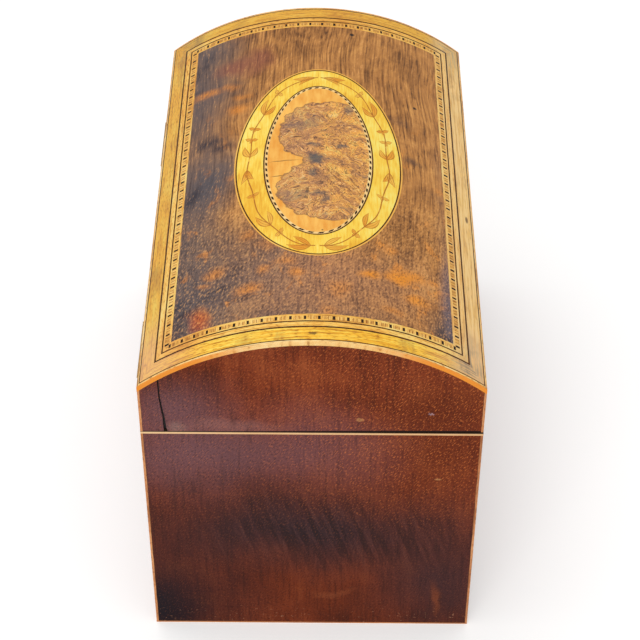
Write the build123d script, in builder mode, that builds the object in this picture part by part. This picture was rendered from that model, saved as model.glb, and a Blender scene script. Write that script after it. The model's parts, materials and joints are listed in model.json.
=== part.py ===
"""Antique tea caddy: a veneered mahogany box whose domed lid carries a frame of bands and an oval.

Millimetres. +X runs along the length, -Y is the lock side, +Z is up, and the origin is the middle of
the underside. Every piece is a solid of its own.
"""

import os
from math import asin, cos, degrees, pi, radians, sin, sqrt, tan

from build123d import *

os.makedirs("parts", exist_ok=True)

# Outside of the closed box
length = 190.0
depth = 112.0
base_height = 98.0
lid_side = 20.0
dome_rise = 20.3
seam_gap = 0.6

# Boards and skins
veneer = 0.9
carcass_board = 6.0
bottom_board = 5.0
lid_board = 5.5
stave_thickness = 5.0
stave_count = 7
tail_count = 4
tail_width = 13.0
tail_flare = 1.0

# Inside of the base
lining = 2.5
lip_height = 3.0
rebate = 1.3
partition_board = 4.0
foil = 0.5
inner_lid_thickness = 4.0
inner_lid_below_rim = 6.0
inner_lid_gap = 0.4
inner_lid_edge = 1.0
lip_rounding = 0.7

# Turned knob
knob_height = 12.0
knob_radius = 5.5
knob_neck = 2.2
knob_foot = 3.6
knob_foot_height = 0.9
knob_waist_height = 4.8
knob_shoulder_height = 8.6
knob_flat = 2.4
knob_sides = 24

# Strings on the corners and edges
rim_string = 1.0
foot_string = 0.6
arris_string = 1.6

# Inlay of the dome, each width taken along the curve, from the arris inward, with its thin dark lines
crossband = 6.6
frame_band = 2.5
block_band = 2.6
block_pitch = 4.6
block_dark = 0.87
block_bed = 0.03

# Oval of the dome
oval_length = 106.6
oval_width = 60.2
oval_shift = 1.4
oval_band = 11.2

# Hinges
hinge_spacing = 116.0
leaf_length = 28.0
leaf_thickness = 2.0
leaf_margin = 0.6
knuckle_count = 3
knuckle_radius = 1.05
knuckle_gap = 0.15
pin_radius = 0.55
pin_fit = 0.04
pin_stand_off = 1.15
stop_angle = 100.6

# Screws
screw_head_radius = 1.6
screw_head_depth = 0.8
screw_shank_radius = 0.85
screw_length = 8.0
screw_sides = 8
screw_spacing = 18.0

# Lock
lock_length = 40.0
lock_height = 24.0
lock_depth = 5.4
lock_sheet = 0.8
lock_back = 1.0
flange_length = 50.0
flange_thickness = 1.2
flange_screw_spacing = 44.0
bolt_height = 7.0
bolt_thickness = 1.0
bolt_throw = 4.0
bolt_below_flange = 5.8
bolt_clearance = 0.2
stud_side = 1.6
stud_collar = 3.2
hook_width = 2.3
hook_height = 1.6
hook_gap = 0.6
hook_clearance = 0.35
talon_width = 4.4
talon_height = 2.6
spring_thickness = 0.4
spring_length = 13.0
spring_bow = 2.4
key_below_rim = 18.0
key_pin_radius = 0.8
keyhole_round = 2.2
keyhole_slot = 2.4
keyhole_drop = 5.6
escutcheon_rim = 0.8

# Link plate in the lid
link_spacing = 18.0
link_thickness = 1.6
link_width = 3.0
link_bar = 0.7
link_drop = 6.6
link_swing = 0.4
link_plate_length = 34.0
link_plate_thickness = 1.2
link_screw_spacing = 8.0

# Sizes worked out from the ones above
core_x = length / 2 - veneer
core_y = depth / 2 - veneer
inner_x = core_x - carcass_board
inner_y = core_y - carcass_board
well_x = inner_x - lining
well_y = inner_y - lining
eave = base_height + lid_side
top = eave + dome_rise
dome_radius = ((depth / 2) ** 2 + dome_rise**2) / (2 * dome_rise)
dome_centre = top - dome_radius
arch_half = dome_radius * asin(depth / 2 / dome_radius)
stave_top = dome_radius - veneer
stave_bottom = stave_top - stave_thickness
string_bottom = dome_radius - arris_string
lid_inner_x = core_x - lid_board
lid_inner_y = core_y - lid_board
ledge = base_height - inner_lid_below_rim - inner_lid_thickness
inner_lid_top = ledge + inner_lid_thickness
pin_y = depth / 2 + pin_stand_off
leaf_inside = core_y - lid_board + leaf_margin
leaf_middle = (leaf_inside + depth / 2) / 2
flange_bottom = base_height - flange_thickness
lock_front = inner_y + lock_depth
lock_foot = base_height - lock_height
cavity_front = lock_front - lock_sheet
cavity_back = inner_y + lock_back
link_front = cavity_front - link_swing
link_back = link_front - link_width
bolt_middle = (link_front + link_back) / 2
bolt_top = base_height - flange_thickness - bolt_below_flange
key_height = base_height - key_below_rim

seam = Plane(origin=(0, depth / 2, base_height), x_dir=(1, 0, 0), z_dir=(0, seam_gap, depth))


def block(x0, x1, y0, y1, z0, z1, mode=Mode.ADD):
    """A straight-sided block between two opposite corners."""
    with Locations(((x0 + x1) / 2, (y0 + y1) / 2, (z0 + z1) / 2)):
        Box(abs(x1 - x0), abs(y1 - y0), z1 - z0, mode=mode)


def ring(outer_x, outer_y, inner_x_, inner_y_):
    """Four mitred sides of a frame in plan, each a list of corners."""
    outer = [(-outer_x, -outer_y), (outer_x, -outer_y), (outer_x, outer_y), (-outer_x, outer_y)]
    inner = [(-inner_x_, -inner_y_), (inner_x_, -inner_y_), (inner_x_, inner_y_), (-inner_x_, inner_y_)]
    return [(outer[i], outer[i - 3], inner[i - 3], inner[i]) for i in range(4)]


def plan_y(inset):
    """How far from the middle, in plan, a line lies that runs inset from the eaves along the curve."""
    return dome_radius * sin((arch_half - inset) / dome_radius)


def bent(radius_top, radius_bottom, angle_from, angle_to, reach, mode=Mode.ADD):
    """A sheet bent about the dome's axis, between two radii and two angles from the crown."""
    with BuildSketch(Plane.YZ) as section:
        with BuildLine():
            over = CenterArc((0, dome_centre), radius_top, 90 - angle_from, angle_from - angle_to)
            under = CenterArc((0, dome_centre), radius_bottom, 90 - angle_from, angle_from - angle_to)
            Line(over @ 0, under @ 0)
            Line(over @ 1, under @ 1)
        make_face()
    extrude(section.sketch, amount=reach, both=True, mode=mode)


def arched(radius, half_width, reach, mode=Mode.ADD):
    """A board under the dome: flat sides and foot, and a top that follows an arc about its axis."""
    turn = degrees(asin(half_width / radius))
    with BuildSketch(Plane.YZ) as section:
        with BuildLine():
            arc = CenterArc((0, dome_centre), radius, 90 - turn, 2 * turn)
            Polyline(arc @ 0, (half_width, base_height), (-half_width, base_height), arc @ 1)
        make_face()
    extrude(section.sketch, amount=reach, both=True, mode=mode)


def frame_pieces(radius_top, radius_bottom, outer_x, outer_y, inner_x_, inner_y_):
    """Four mitred lengths of a band on the dome, cut to a frame in plan."""
    pieces = []
    for corners in ring(outer_x, outer_y, inner_x_, inner_y_):
        with BuildPart() as piece:
            with BuildSketch(Plane.XY.offset(base_height)):
                Polygon(*corners, align=None)
            extrude(amount=top)
            reach = degrees(asin(min(1.0, (depth / 2 + veneer) / radius_top)))
            bent(radius_top, radius_bottom, -reach, reach, length, mode=Mode.INTERSECT)
        pieces.extend(piece.part.solids())
    return pieces


def inlay_frame(start, width):
    """A mitred frame in the dome's veneer, start and width taken inward along the curve."""
    return frame_pieces(
        dome_radius, stave_top,
        length / 2 - start, plan_y(start),
        length / 2 - start - width, plan_y(start + width),
    )


def write_group(name, solids):
    """Write several loose solids as one piece."""
    group = Compound(children=solids)
    group.label = name
    export_step(group, f"parts/{name}.step")


def turned(steps, sides):
    """A turned form drawn with flat sides: each step is a height and a radius, from the foot up."""
    turns = [2 * pi * k / sides for k in range(sides)]
    rings = [[Vector(radius * cos(t), radius * sin(t), height) for t in turns] for height, radius in steps]
    faces = [Face(Wire.make_polygon(rings[0])), Face(Wire.make_polygon(rings[-1]))]
    for lower, upper in zip(rings, rings[1:]):
        for k in range(sides):
            faces.append(Face(Wire.make_polygon([lower[k - 1], lower[k], upper[k], upper[k - 1]])))
    return Solid(Shell(faces))


# Screw, pointing down with its head at the origin
with BuildPart() as screw:
    add(turned(
        (
            (-screw_length, screw_shank_radius), (-screw_head_depth, screw_shank_radius),
            (0, screw_head_radius),
        ),
        screw_sides,
    ))

hinge_middles = (-hinge_spacing / 2, hinge_spacing / 2)
hinge_screw_spots = [
    (middle + shift, leaf_middle)
    for middle in hinge_middles
    for shift in (-screw_spacing / 2, screw_spacing / 2)
]
flange_middle = (lock_front + inner_y) / 2
flange_screw_spots = [(-flange_screw_spacing / 2, -flange_middle), (flange_screw_spacing / 2, -flange_middle)]
link_screw_spots = [(-link_screw_spacing / 2, -bolt_middle), (link_screw_spacing / 2, -bolt_middle)]
base_screw_places = [Location((x, y, base_height)) for x, y in hinge_screw_spots + flange_screw_spots]
lid_screw_places = [
    Location((x, y, base_height), (180, 0, 0)) for x, y in hinge_screw_spots + link_screw_spots
]


def screw_holes(places):
    with Locations(*places):
        add(screw.part, mode=Mode.SUBTRACT)


def hinge_beds(z0, z1):
    """Beds for the hinge leaves, between two heights."""
    for middle in hinge_middles:
        block(
            middle - leaf_length / 2, middle + leaf_length / 2, leaf_inside, depth / 2 + veneer, z0, z1,
            mode=Mode.SUBTRACT,
        )


def tails():
    """Dovetails at both edges of an end board, drawn on its face."""
    pitch = base_height / tail_count
    for side in (-1, 1):
        for k in range(tail_count):
            middle = (k + 0.5) * pitch
            Polygon(
                (side * inner_y, middle - tail_width / 2), (side * inner_y, middle + tail_width / 2),
                (side * core_y, middle + tail_width / 2 + tail_flare),
                (side * core_y, middle - tail_width / 2 - tail_flare), align=None,
            )


def tail_sockets():
    for side in (-1, 1):
        with BuildSketch(Plane.YZ.offset(side * (inner_x + core_x) / 2)) as outline:
            tails()
        extrude(outline.sketch, amount=carcass_board / 2, both=True, mode=Mode.SUBTRACT)


def keyhole(grow=0.0):
    """The keyhole's outline on the front, or one that stands a rim's width outside it."""
    with Locations((0, key_height)):
        Circle(keyhole_round + grow)
    with Locations((0, key_height - (keyhole_drop + grow) / 2)):
        Rectangle(keyhole_slot + 2 * grow, keyhole_drop + grow)


def keyhole_cut(grow=0.0):
    with BuildSketch(Plane.XZ.offset(cavity_front - lock_sheet)) as outline:
        keyhole(grow)
    extrude(outline.sketch, amount=depth, mode=Mode.SUBTRACT)


# Carcass of the base
with BuildPart() as bottom:
    block(-inner_x, inner_x, -inner_y, inner_y, 0, bottom_board)
bottom.part.label = "bottom_board"
export_step(bottom.part, "parts/bottom_board.step")

for side, end in ((-1, "left"), (1, "right")):
    with BuildPart() as carcass_end:
        with BuildSketch(Plane.YZ.offset(side * (inner_x + core_x) / 2)):
            with Locations((0, base_height / 2)):
                Rectangle(2 * inner_y, base_height)
            tails()
        extrude(amount=carcass_board / 2, both=True)
    carcass_end.part.label = f"carcass_{end}"
    export_step(carcass_end.part, f"parts/carcass_{end}.step")

with BuildPart() as carcass_front:
    block(-core_x, core_x, -core_y, -inner_y, 0, base_height)
    tail_sockets()
    block(
        -lock_length / 2, lock_length / 2, -lock_front, -inner_y, lock_foot, base_height,
        mode=Mode.SUBTRACT,
    )
    block(
        -flange_length / 2, flange_length / 2, -lock_front, -inner_y, flange_bottom, base_height,
        mode=Mode.SUBTRACT,
    )
    screw_holes(base_screw_places)
    keyhole_cut(escutcheon_rim)
carcass_front.part.label = "carcass_front"
export_step(carcass_front.part, "parts/carcass_front.step")

with BuildPart() as carcass_back:
    block(-core_x, core_x, inner_y, core_y, 0, base_height)
    tail_sockets()
    hinge_beds(base_height - leaf_thickness, base_height)
    screw_holes(base_screw_places)
carcass_back.part.label = "carcass_back"
export_step(carcass_back.part, "parts/carcass_back.step")

# Veneers and strings of the base
veneer_top = base_height - rim_string
for side, end in ((-1, "left"), (1, "right")):
    with BuildPart() as veneer_end:
        block(side * core_x, side * length / 2, -core_y, core_y, foot_string, veneer_top)
    veneer_end.part.label = f"veneer_{end}"
    export_step(veneer_end.part, f"parts/veneer_{end}.step")

with BuildPart() as veneer_front:
    block(-core_x, core_x, -depth / 2, -core_y, foot_string, veneer_top)
    keyhole_cut(escutcheon_rim)
veneer_front.part.label = "veneer_front"
export_step(veneer_front.part, "parts/veneer_front.step")

with BuildPart() as veneer_back:
    block(-core_x, core_x, core_y, depth / 2, foot_string, veneer_top)
    hinge_beds(base_height - leaf_thickness, base_height)
veneer_back.part.label = "veneer_back"
export_step(veneer_back.part, "parts/veneer_back.step")

with BuildPart() as corner_strings:
    with GridLocations(length - veneer, depth - veneer, 2, 2):
        with Locations((0, 0, (foot_string + veneer_top) / 2)):
            Box(veneer, veneer, veneer_top - foot_string)
corner_strings.part.label = "corner_strings"
export_step(corner_strings.part, "parts/corner_strings.step")


def flat_frame(z0, z1):
    """Four mitred lengths of string round the box between two heights."""
    pieces = []
    for corners in ring(length / 2, depth / 2, core_x, core_y):
        with BuildPart() as piece:
            with BuildSketch(Plane.XY.offset(z0)):
                Polygon(*corners, align=None)
            extrude(amount=z1 - z0)
            hinge_beds(base_height - leaf_thickness, base_height)
        pieces.extend(piece.part.solids())
    return pieces


write_group("foot_string", flat_frame(0, foot_string))
write_group("rim_string", flat_frame(veneer_top, base_height))

# Lining boards, whose tops stand proud of the rim and locate the lid
lining_top = base_height + lip_height
for side, face in ((-1, "front"), (1, "back")):
    with BuildPart() as lining_long:
        block(-inner_x, inner_x, side * inner_y, side * well_y, bottom_board, lining_top)
        block(
            -inner_x, inner_x, side * (well_y + rebate), side * well_y, ledge, lining_top, mode=Mode.SUBTRACT
        )
        block(
            -partition_board / 2, partition_board / 2, side * (well_y + rebate), side * well_y,
            bottom_board, ledge, mode=Mode.SUBTRACT,
        )
        outside = lining_long.edges().filter_by(Axis.X).group_by(Axis.Z)[-1].sort_by(Axis.Y)
        fillet(outside[0 if side < 0 else -1], radius=lip_rounding)
    lining_long.part.label = f"lining_{face}"
    export_step(lining_long.part, f"parts/lining_{face}.step")

for side, end in ((-1, "left"), (1, "right")):
    with BuildPart() as lining_end:
        block(side * inner_x, side * well_x, -well_y, well_y, bottom_board, ledge)
        block(
            side * inner_x, side * (well_x + rebate), -well_y - rebate, well_y + rebate, ledge, lining_top
        )
        outside = lining_end.edges().filter_by(Axis.Y).group_by(Axis.Z)[-1].sort_by(Axis.X)
        fillet(outside[0 if side < 0 else -1], radius=lip_rounding)
    lining_end.part.label = f"lining_{end}"
    export_step(lining_end.part, f"parts/lining_{end}.step")

with BuildPart() as partition:
    block(
        -partition_board / 2, partition_board / 2, -well_y - rebate, well_y + rebate, bottom_board, ledge
    )
    block(
        -partition_board / 2 + rebate, partition_board / 2 - rebate, -well_y - rebate, well_y + rebate,
        ledge, inner_lid_top,
    )
partition.part.label = "partition"
export_step(partition.part, "parts/partition.step")

# Turned knob, standing at the origin: a foot, a waist and a crowned head
with BuildPart() as turned_knob:
    add(turned(
        (
            (0, knob_foot), (knob_foot_height, knob_foot), (knob_waist_height, knob_neck),
            (knob_shoulder_height, knob_radius), (knob_height, knob_flat),
        ),
        knob_sides,
    ))

# Foil wells, inner lids and knobs, one of each in either compartment
for side, end in ((-1, "left"), (1, "right")):
    with BuildPart() as foil_well:
        block(side * well_x, side * partition_board / 2, -well_y, well_y, bottom_board, ledge)
        mouth = foil_well.faces().sort_by(Axis.Z)[-1]
        offset(amount=-foil, openings=mouth)
    foil_well.part.label = f"foil_well_{end}"
    export_step(foil_well.part, f"parts/foil_well_{end}.step")

    recess_outside = well_x + rebate
    recess_inside = partition_board / 2 - rebate
    knob_x = side * (recess_outside + recess_inside) / 2
    with BuildPart() as inner_lid:
        block(
            side * (recess_outside - inner_lid_gap), side * (recess_inside + inner_lid_gap),
            -well_y - rebate + inner_lid_gap, well_y + rebate - inner_lid_gap, ledge, inner_lid_top,
        )
        rim = inner_lid.faces().sort_by(Axis.Z)[-1].edges()
        chamfer(rim, length=inner_lid_edge / 2, length2=inner_lid_edge)
    inner_lid.part.label = f"inner_lid_{end}"
    export_step(inner_lid.part, f"parts/inner_lid_{end}.step")

    with BuildPart() as knob:
        with Locations((knob_x, 0, inner_lid_top)):
            add(turned_knob.part)
    knob.part.label = f"knob_{end}"
    export_step(knob.part, f"parts/knob_{end}.step")

# Carcass of the lid, sawn so that the seam opens towards the lock
link_bed_top = base_height + link_plate_thickness
for side, face in ((-1, "front"), (1, "back")):
    with BuildPart() as lid_long:
        arched(stave_bottom, core_y, lid_inner_x)
        block(
            -lid_inner_x, lid_inner_x, -side * core_y, side * lid_inner_y, base_height, top,
            mode=Mode.SUBTRACT,
        )
        split(bisect_by=seam, keep=Keep.TOP)
        if side > 0:
            hinge_beds(base_height, base_height + leaf_thickness)
        else:
            block(
                -link_plate_length / 2, link_plate_length / 2, -lock_front, -link_back,
                base_height, link_bed_top, mode=Mode.SUBTRACT,
            )
        screw_holes(lid_screw_places)
    lid_long.part.label = f"lid_{face}"
    export_step(lid_long.part, f"parts/lid_{face}.step")

for side, end in ((-1, "left"), (1, "right")):
    with BuildPart() as lid_end:
        arched(stave_bottom, core_y, core_x)
        block(-side * core_x, side * lid_inner_x, -core_y, core_y, base_height, top, mode=Mode.SUBTRACT)
        split(bisect_by=seam, keep=Keep.TOP)
    lid_end.part.label = f"lid_{end}"
    export_step(lid_end.part, f"parts/lid_{end}.step")

stave_reach = degrees(asin(core_y / stave_bottom))
stave_turn = 2 * stave_reach / stave_count
staves = []
for k in range(stave_count):
    with BuildPart() as stave:
        start = -stave_reach + k * stave_turn
        bent(stave_top, stave_bottom, start, start + stave_turn, core_x)
        block(-core_x, core_x, -core_y, core_y, base_height, top, mode=Mode.INTERSECT)
    staves.extend(stave.part.solids())
write_group("lid_staves", staves)

# Veneers and strings of the lid
for side, face in ((-1, "front"), (1, "back")):
    with BuildPart() as lid_veneer:
        arched(string_bottom, depth / 2, core_x)
        block(-core_x, core_x, -side * depth / 2, side * core_y, base_height, top, mode=Mode.SUBTRACT)
        split(bisect_by=seam, keep=Keep.TOP)
        if side > 0:
            hinge_beds(base_height, base_height + leaf_thickness)
    lid_veneer.part.label = f"lid_veneer_{face}"
    export_step(lid_veneer.part, f"parts/lid_veneer_{face}.step")

for side, end in ((-1, "left"), (1, "right")):
    with BuildPart() as lid_veneer:
        arched(string_bottom, core_y, length / 2)
        block(-side * length / 2, side * core_x, -core_y, core_y, base_height, top, mode=Mode.SUBTRACT)
        split(bisect_by=seam, keep=Keep.TOP)
    lid_veneer.part.label = f"lid_veneer_{end}"
    export_step(lid_veneer.part, f"parts/lid_veneer_{end}.step")

with BuildPart() as lid_corner_strings:
    arched(string_bottom, depth / 2, length / 2)
    block(-core_x, core_x, -depth / 2, depth / 2, base_height, top, mode=Mode.SUBTRACT)
    block(-length / 2, length / 2, -core_y, core_y, base_height, top, mode=Mode.SUBTRACT)
    split(bisect_by=seam, keep=Keep.TOP)
lid_corner_strings.part.label = "lid_corner_strings"
export_step(lid_corner_strings.part, "parts/lid_corner_strings.step")

arris_inner_y = plan_y(veneer)
write_group(
    "arris_strings", frame_pieces(dome_radius, string_bottom, length / 2, depth / 2, core_x, arris_inner_y)
)

# Bands of the dome, from the arris inward
frame_start = veneer + crossband
block_start = frame_start + frame_band
field_start = block_start + block_band
write_group("crossband", inlay_frame(veneer, crossband))
write_group("frame_band", inlay_frame(frame_start, frame_band))

# Block band: dark and light blocks in turn. Those of the long rows have upright walls, like the bands
# beside them, and those of the arched rows have walls that point at the dome's axis
row_x = length / 2 - field_start
row_half = arch_half - field_start
long_count = round((2 * row_x + block_pitch - block_dark) / block_pitch)
arch_count = round((2 * row_half + block_pitch - block_dark) / block_pitch)
long_pitch = (2 * row_x - block_dark) / (long_count - 1)
arch_pitch = (2 * row_half - block_dark) / (arch_count - 1)


def on_arc(radius, y):
    """A point of the section, at a distance from the middle, on an arc about the dome's axis."""
    return (y, dome_centre + sqrt(radius**2 - y**2))


def long_block(block_length):
    """A block of the long rows, drawn at the middle of the back row."""
    near, far = plan_y(field_start), plan_y(block_start)
    bed = stave_top + block_bed
    with BuildSketch(Plane.YZ) as section:
        Polygon(
            on_arc(dome_radius, near), on_arc(dome_radius, far), on_arc(bed, far), on_arc(bed, near),
            align=None,
        )
    extrude(section.sketch, amount=block_length / 2, both=True)


def arch_block(block_length):
    """A block of the arched rows, drawn at the crown with the dome's axis at the origin."""
    turn = block_length / 2 / dome_radius
    bed = stave_top + block_bed
    over = (dome_radius * sin(turn), dome_radius * cos(turn))
    under = (bed * sin(turn), bed * cos(turn))
    with BuildSketch(Plane.YZ) as section:
        Polygon(over, under, (-under[0], under[1]), (-over[0], over[1]), align=None)
    extrude(section.sketch, amount=block_band / 2, both=True)


def block_rows(first, block_length, arch_length):
    """Both long rows and both arched rows of one kind of block: first is 0 for dark and 0.5 for light."""
    with BuildPart(mode=Mode.PRIVATE) as of_long_rows:
        long_block(block_length)
    with BuildPart(mode=Mode.PRIVATE) as of_arched_rows:
        arch_block(arch_length)
    steps = long_count if first == 0 else long_count - 1
    places = [(block_dark / 2 - row_x + (k + first) * long_pitch, 0, 0) for k in range(steps)]
    with Locations(*places):
        add([of_long_rows.part, of_long_rows.part.mirror(Plane.XZ)])
    steps = arch_count if first == 0 else arch_count - 1
    for side in (-1, 1):
        places = []
        for k in range(steps):
            turn = degrees((block_dark / 2 - row_half + (k + first) * arch_pitch) / dome_radius)
            places.append(Location((side * (row_x + block_band / 2), 0, dome_centre), (turn, 0, 0)))
        with Locations(*places):
            add(of_arched_rows.part)


with BuildPart() as block_band_dark:
    block_rows(0, block_dark, block_dark)
block_band_dark.part.label = "block_band_dark"
export_step(block_band_dark.part, "parts/block_band_dark.step")

with BuildPart() as block_band_light:
    block_rows(0.5, long_pitch - block_dark, arch_pitch - block_dark)
    with BuildPart(mode=Mode.PRIVATE) as corner_block:
        long_block(block_band)
    with Locations((row_x + block_band / 2, 0, 0), (-row_x - block_band / 2, 0, 0)):
        add([corner_block.part, corner_block.part.mirror(Plane.XZ)])
block_band_light.part.label = "block_band_light"
export_step(block_band_light.part, "parts/block_band_light.step")


# Field and oval. The oval's half width is taken along the curve, and the oval sits a little off centre
def oval(inset, mode=Mode.ADD):
    """The oval's outline in plan, inset from its outermost edge."""
    across = dome_radius * sin((oval_width / 2 - inset) / dome_radius)
    with Locations((0, -oval_shift)):
        Ellipse(oval_length / 2 - inset, across, mode=mode)


with BuildPart() as field:
    with BuildSketch(Plane.XY.offset(base_height)):
        Rectangle(length - 2 * field_start, 2 * plan_y(field_start))
        oval(0.0, mode=Mode.SUBTRACT)
    extrude(amount=top)
    bent(dome_radius, stave_top, -stave_reach, stave_reach, length, mode=Mode.INTERSECT)
field.part.label = "field"
export_step(field.part, "parts/field.step")

with BuildPart() as oval_ring:
    with BuildSketch(Plane.XY.offset(base_height)):
        oval(0.0)
        oval(oval_band, mode=Mode.SUBTRACT)
    extrude(amount=top)
    bent(dome_radius, stave_top, -stave_reach, stave_reach, length, mode=Mode.INTERSECT)
oval_ring.part.label = "oval_band"
export_step(oval_ring.part, "parts/oval_band.step")

with BuildPart() as oval_centre:
    with BuildSketch(Plane.XY.offset(base_height)):
        oval(oval_band)
    extrude(amount=top)
    bent(dome_radius, stave_top, -stave_reach, stave_reach, length, mode=Mode.INTERSECT)
oval_centre.part.label = "oval_centre"
export_step(oval_centre.part, "parts/oval_centre.step")

# Hinges. Behind the box each leaf ends in a bevel, and the bevels meet when the lid leans back
knuckle_length = (leaf_length - (knuckle_count - 1) * knuckle_gap) / knuckle_count
bevel_reach = leaf_thickness / tan(radians(stop_angle / 2))


def knuckle_places(middle, first):
    """Middles of every other knuckle, counted from the first one."""
    start = middle - leaf_length / 2 + knuckle_length / 2
    return [
        Location((start + k * (knuckle_length + knuckle_gap), pin_y, base_height), (0, 90, 0))
        for k in range(first, knuckle_count, 2)
    ]


def hinge_leaf(middle, side, first, screw_places):
    """One leaf: side is -1 under the seam and 1 above it, first is its first knuckle."""
    edge = base_height + side * leaf_thickness
    with BuildSketch(Plane.YZ.offset(middle)) as section:
        Polygon(
            (leaf_inside, base_height), (leaf_inside, edge), (pin_y + bevel_reach, edge),
            (pin_y, base_height), align=None,
        )
    extrude(section.sketch, amount=leaf_length / 2, both=True)
    relief = knuckle_radius + knuckle_gap
    with Locations(*knuckle_places(middle, 1 - first)):
        Box(2 * relief, 2 * relief, knuckle_length + 2 * knuckle_gap, mode=Mode.SUBTRACT)
    with Locations(*knuckle_places(middle, first)):
        Cylinder(knuckle_radius, knuckle_length)
    with Locations(Location((middle, pin_y, base_height), (0, 90, 0))):
        Cylinder(pin_radius + pin_fit, leaf_length, mode=Mode.SUBTRACT)
    screw_holes(screw_places)


for middle, end in zip(hinge_middles, ("left", "right")):
    with BuildPart() as fixed_leaf:
        hinge_leaf(middle, -1, 0, base_screw_places)
    fixed_leaf.part.label = f"hinge_fixed_leaf_{end}"
    export_step(fixed_leaf.part, f"parts/hinge_fixed_leaf_{end}.step")

    with BuildPart() as moving_leaf:
        hinge_leaf(middle, 1, 1, lid_screw_places)
    moving_leaf.part.label = f"hinge_moving_leaf_{end}"
    export_step(moving_leaf.part, f"parts/hinge_moving_leaf_{end}.step")

with BuildPart() as hinge_pins:
    with Locations(*[Location((middle, pin_y, base_height), (0, 90, 0)) for middle in hinge_middles]):
        Cylinder(pin_radius, leaf_length)
hinge_pins.part.label = "hinge_pins"
export_step(hinge_pins.part, "parts/hinge_pins.step")

with BuildPart() as base_screws:
    with Locations(*base_screw_places):
        add(screw.part)
base_screws.part.label = "base_screws"
export_step(base_screws.part, "parts/base_screws.step")

with BuildPart() as lid_screws:
    with Locations(*lid_screw_places):
        add(screw.part)
lid_screws.part.label = "lid_screws"
export_step(lid_screws.part, "parts/lid_screws.step")

# Lock: a back plate with its flange and studs, a case over it, and the bolt between
link_middles = (-link_spacing / 2, link_spacing / 2)
bolt_right = link_middles[1] + link_thickness / 2
bolt_left = link_middles[0] - link_thickness / 2 - hook_gap - bolt_throw - hook_width
stud_spots = [
    (link_middles[0], bolt_top - bolt_height / 2),
    (link_middles[1] - bolt_throw, bolt_top - bolt_height / 2),
]
link_slot_x = link_thickness / 2 + bolt_clearance

with BuildPart() as lock_plate:
    block(-lock_length / 2, lock_length / 2, -cavity_back, -inner_y, lock_foot, flange_bottom)
    block(-flange_length / 2, flange_length / 2, -lock_front, -inner_y, flange_bottom, base_height)
    for middle in link_middles:
        block(
            middle - link_slot_x, middle + link_slot_x,
            -cavity_front, -link_back + bolt_clearance, flange_bottom, base_height, mode=Mode.SUBTRACT,
        )
    for x, z in stud_spots:
        for side, reach in (
            (stud_collar, bolt_middle - bolt_thickness / 2 - bolt_clearance / 2),
            (stud_side, cavity_front),
        ):
            block(x - side / 2, x + side / 2, -reach, -cavity_back, z - side / 2, z + side / 2)
    with Locations(Location((0, -cavity_back, key_height), (90, 0, 0))):
        Cylinder(key_pin_radius, cavity_front - cavity_back, align=(Align.CENTER, Align.CENTER, Align.MIN))
    screw_holes(base_screw_places)
lock_plate.part.label = "lock_plate"
export_step(lock_plate.part, "parts/lock_plate.step")

with BuildPart() as lock_case:
    block(-lock_length / 2, lock_length / 2, -lock_front, -cavity_back, lock_foot, flange_bottom)
    block(
        -lock_length / 2 + lock_sheet, lock_length / 2 - lock_sheet, -cavity_front, -cavity_back,
        lock_foot + lock_sheet, flange_bottom, mode=Mode.SUBTRACT,
    )
    keyhole_cut()
lock_case.part.label = "lock_case"
export_step(lock_case.part, "parts/lock_case.step")

with BuildPart() as bolt:
    bolt_foot = bolt_top - bolt_height
    link_hole_foot = base_height - link_drop + link_bar
    link_hole_top = link_hole_foot + hook_height + 2 * hook_clearance
    hook_foot = link_hole_foot + hook_clearance
    with BuildSketch(Plane.XZ.offset(bolt_middle)):
        with Locations(((bolt_left + bolt_right) / 2, (bolt_foot + bolt_top) / 2)):
            Rectangle(bolt_right - bolt_left, bolt_height)
        for middle in link_middles:
            tip = middle - link_thickness / 2 - hook_gap
            root = tip - bolt_throw
            with Locations((root - hook_width / 2, (bolt_top + hook_foot + hook_height) / 2)):
                Rectangle(hook_width, hook_foot + hook_height - bolt_top)
            with Locations(((root + tip) / 2, hook_foot + hook_height / 2)):
                Rectangle(bolt_throw, hook_height)
        for x, z in stud_spots:
            opening = stud_side + 2 * bolt_clearance
            with Locations((x - bolt_throw / 2, z)):
                Rectangle(bolt_throw + opening, opening, mode=Mode.SUBTRACT)
        with Locations((-bolt_throw / 2, bolt_foot + talon_height / 2)):
            Rectangle(talon_width, talon_height, mode=Mode.SUBTRACT)
    extrude(amount=bolt_thickness / 2, both=True)
bolt.part.label = "lock_bolt"
export_step(bolt.part, "parts/lock_bolt.step")

with BuildPart() as lock_spring:
    with BuildSketch(Plane.XZ.offset(bolt_middle)):
        with BuildLine():
            spring_root = -lock_length / 2 + lock_sheet + spring_thickness
            spring_top = bolt_foot - bolt_clearance - spring_thickness
            bow = ThreePointArc(
                (spring_root, spring_top - spring_bow),
                (spring_root + spring_length / 2, spring_top),
                (spring_root + spring_length, spring_top - spring_bow),
            )
            leaf = offset(bow, amount=spring_thickness, side=Side.LEFT)
        make_face()
    extrude(amount=bolt_thickness / 2, both=True)
lock_spring.part.label = "lock_spring"
export_step(lock_spring.part, "parts/lock_spring.step")

with BuildPart() as escutcheon:
    with BuildSketch(Plane.XZ.offset(lock_front)):
        keyhole(escutcheon_rim)
        with BuildSketch(mode=Mode.SUBTRACT):
            keyhole()
    extrude(amount=depth / 2 - lock_front)
escutcheon.part.label = "escutcheon"
export_step(escutcheon.part, "parts/escutcheon.step")

# Link plate, let into the lid, and two links under it that drop through the lock's flange
with BuildPart() as link_plate:
    block(
        -link_plate_length / 2, link_plate_length / 2, -lock_front, -link_back, base_height, link_bed_top
    )
    screw_holes(lid_screw_places)
link_plate.part.label = "link_plate"
export_step(link_plate.part, "parts/link_plate.step")

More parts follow.
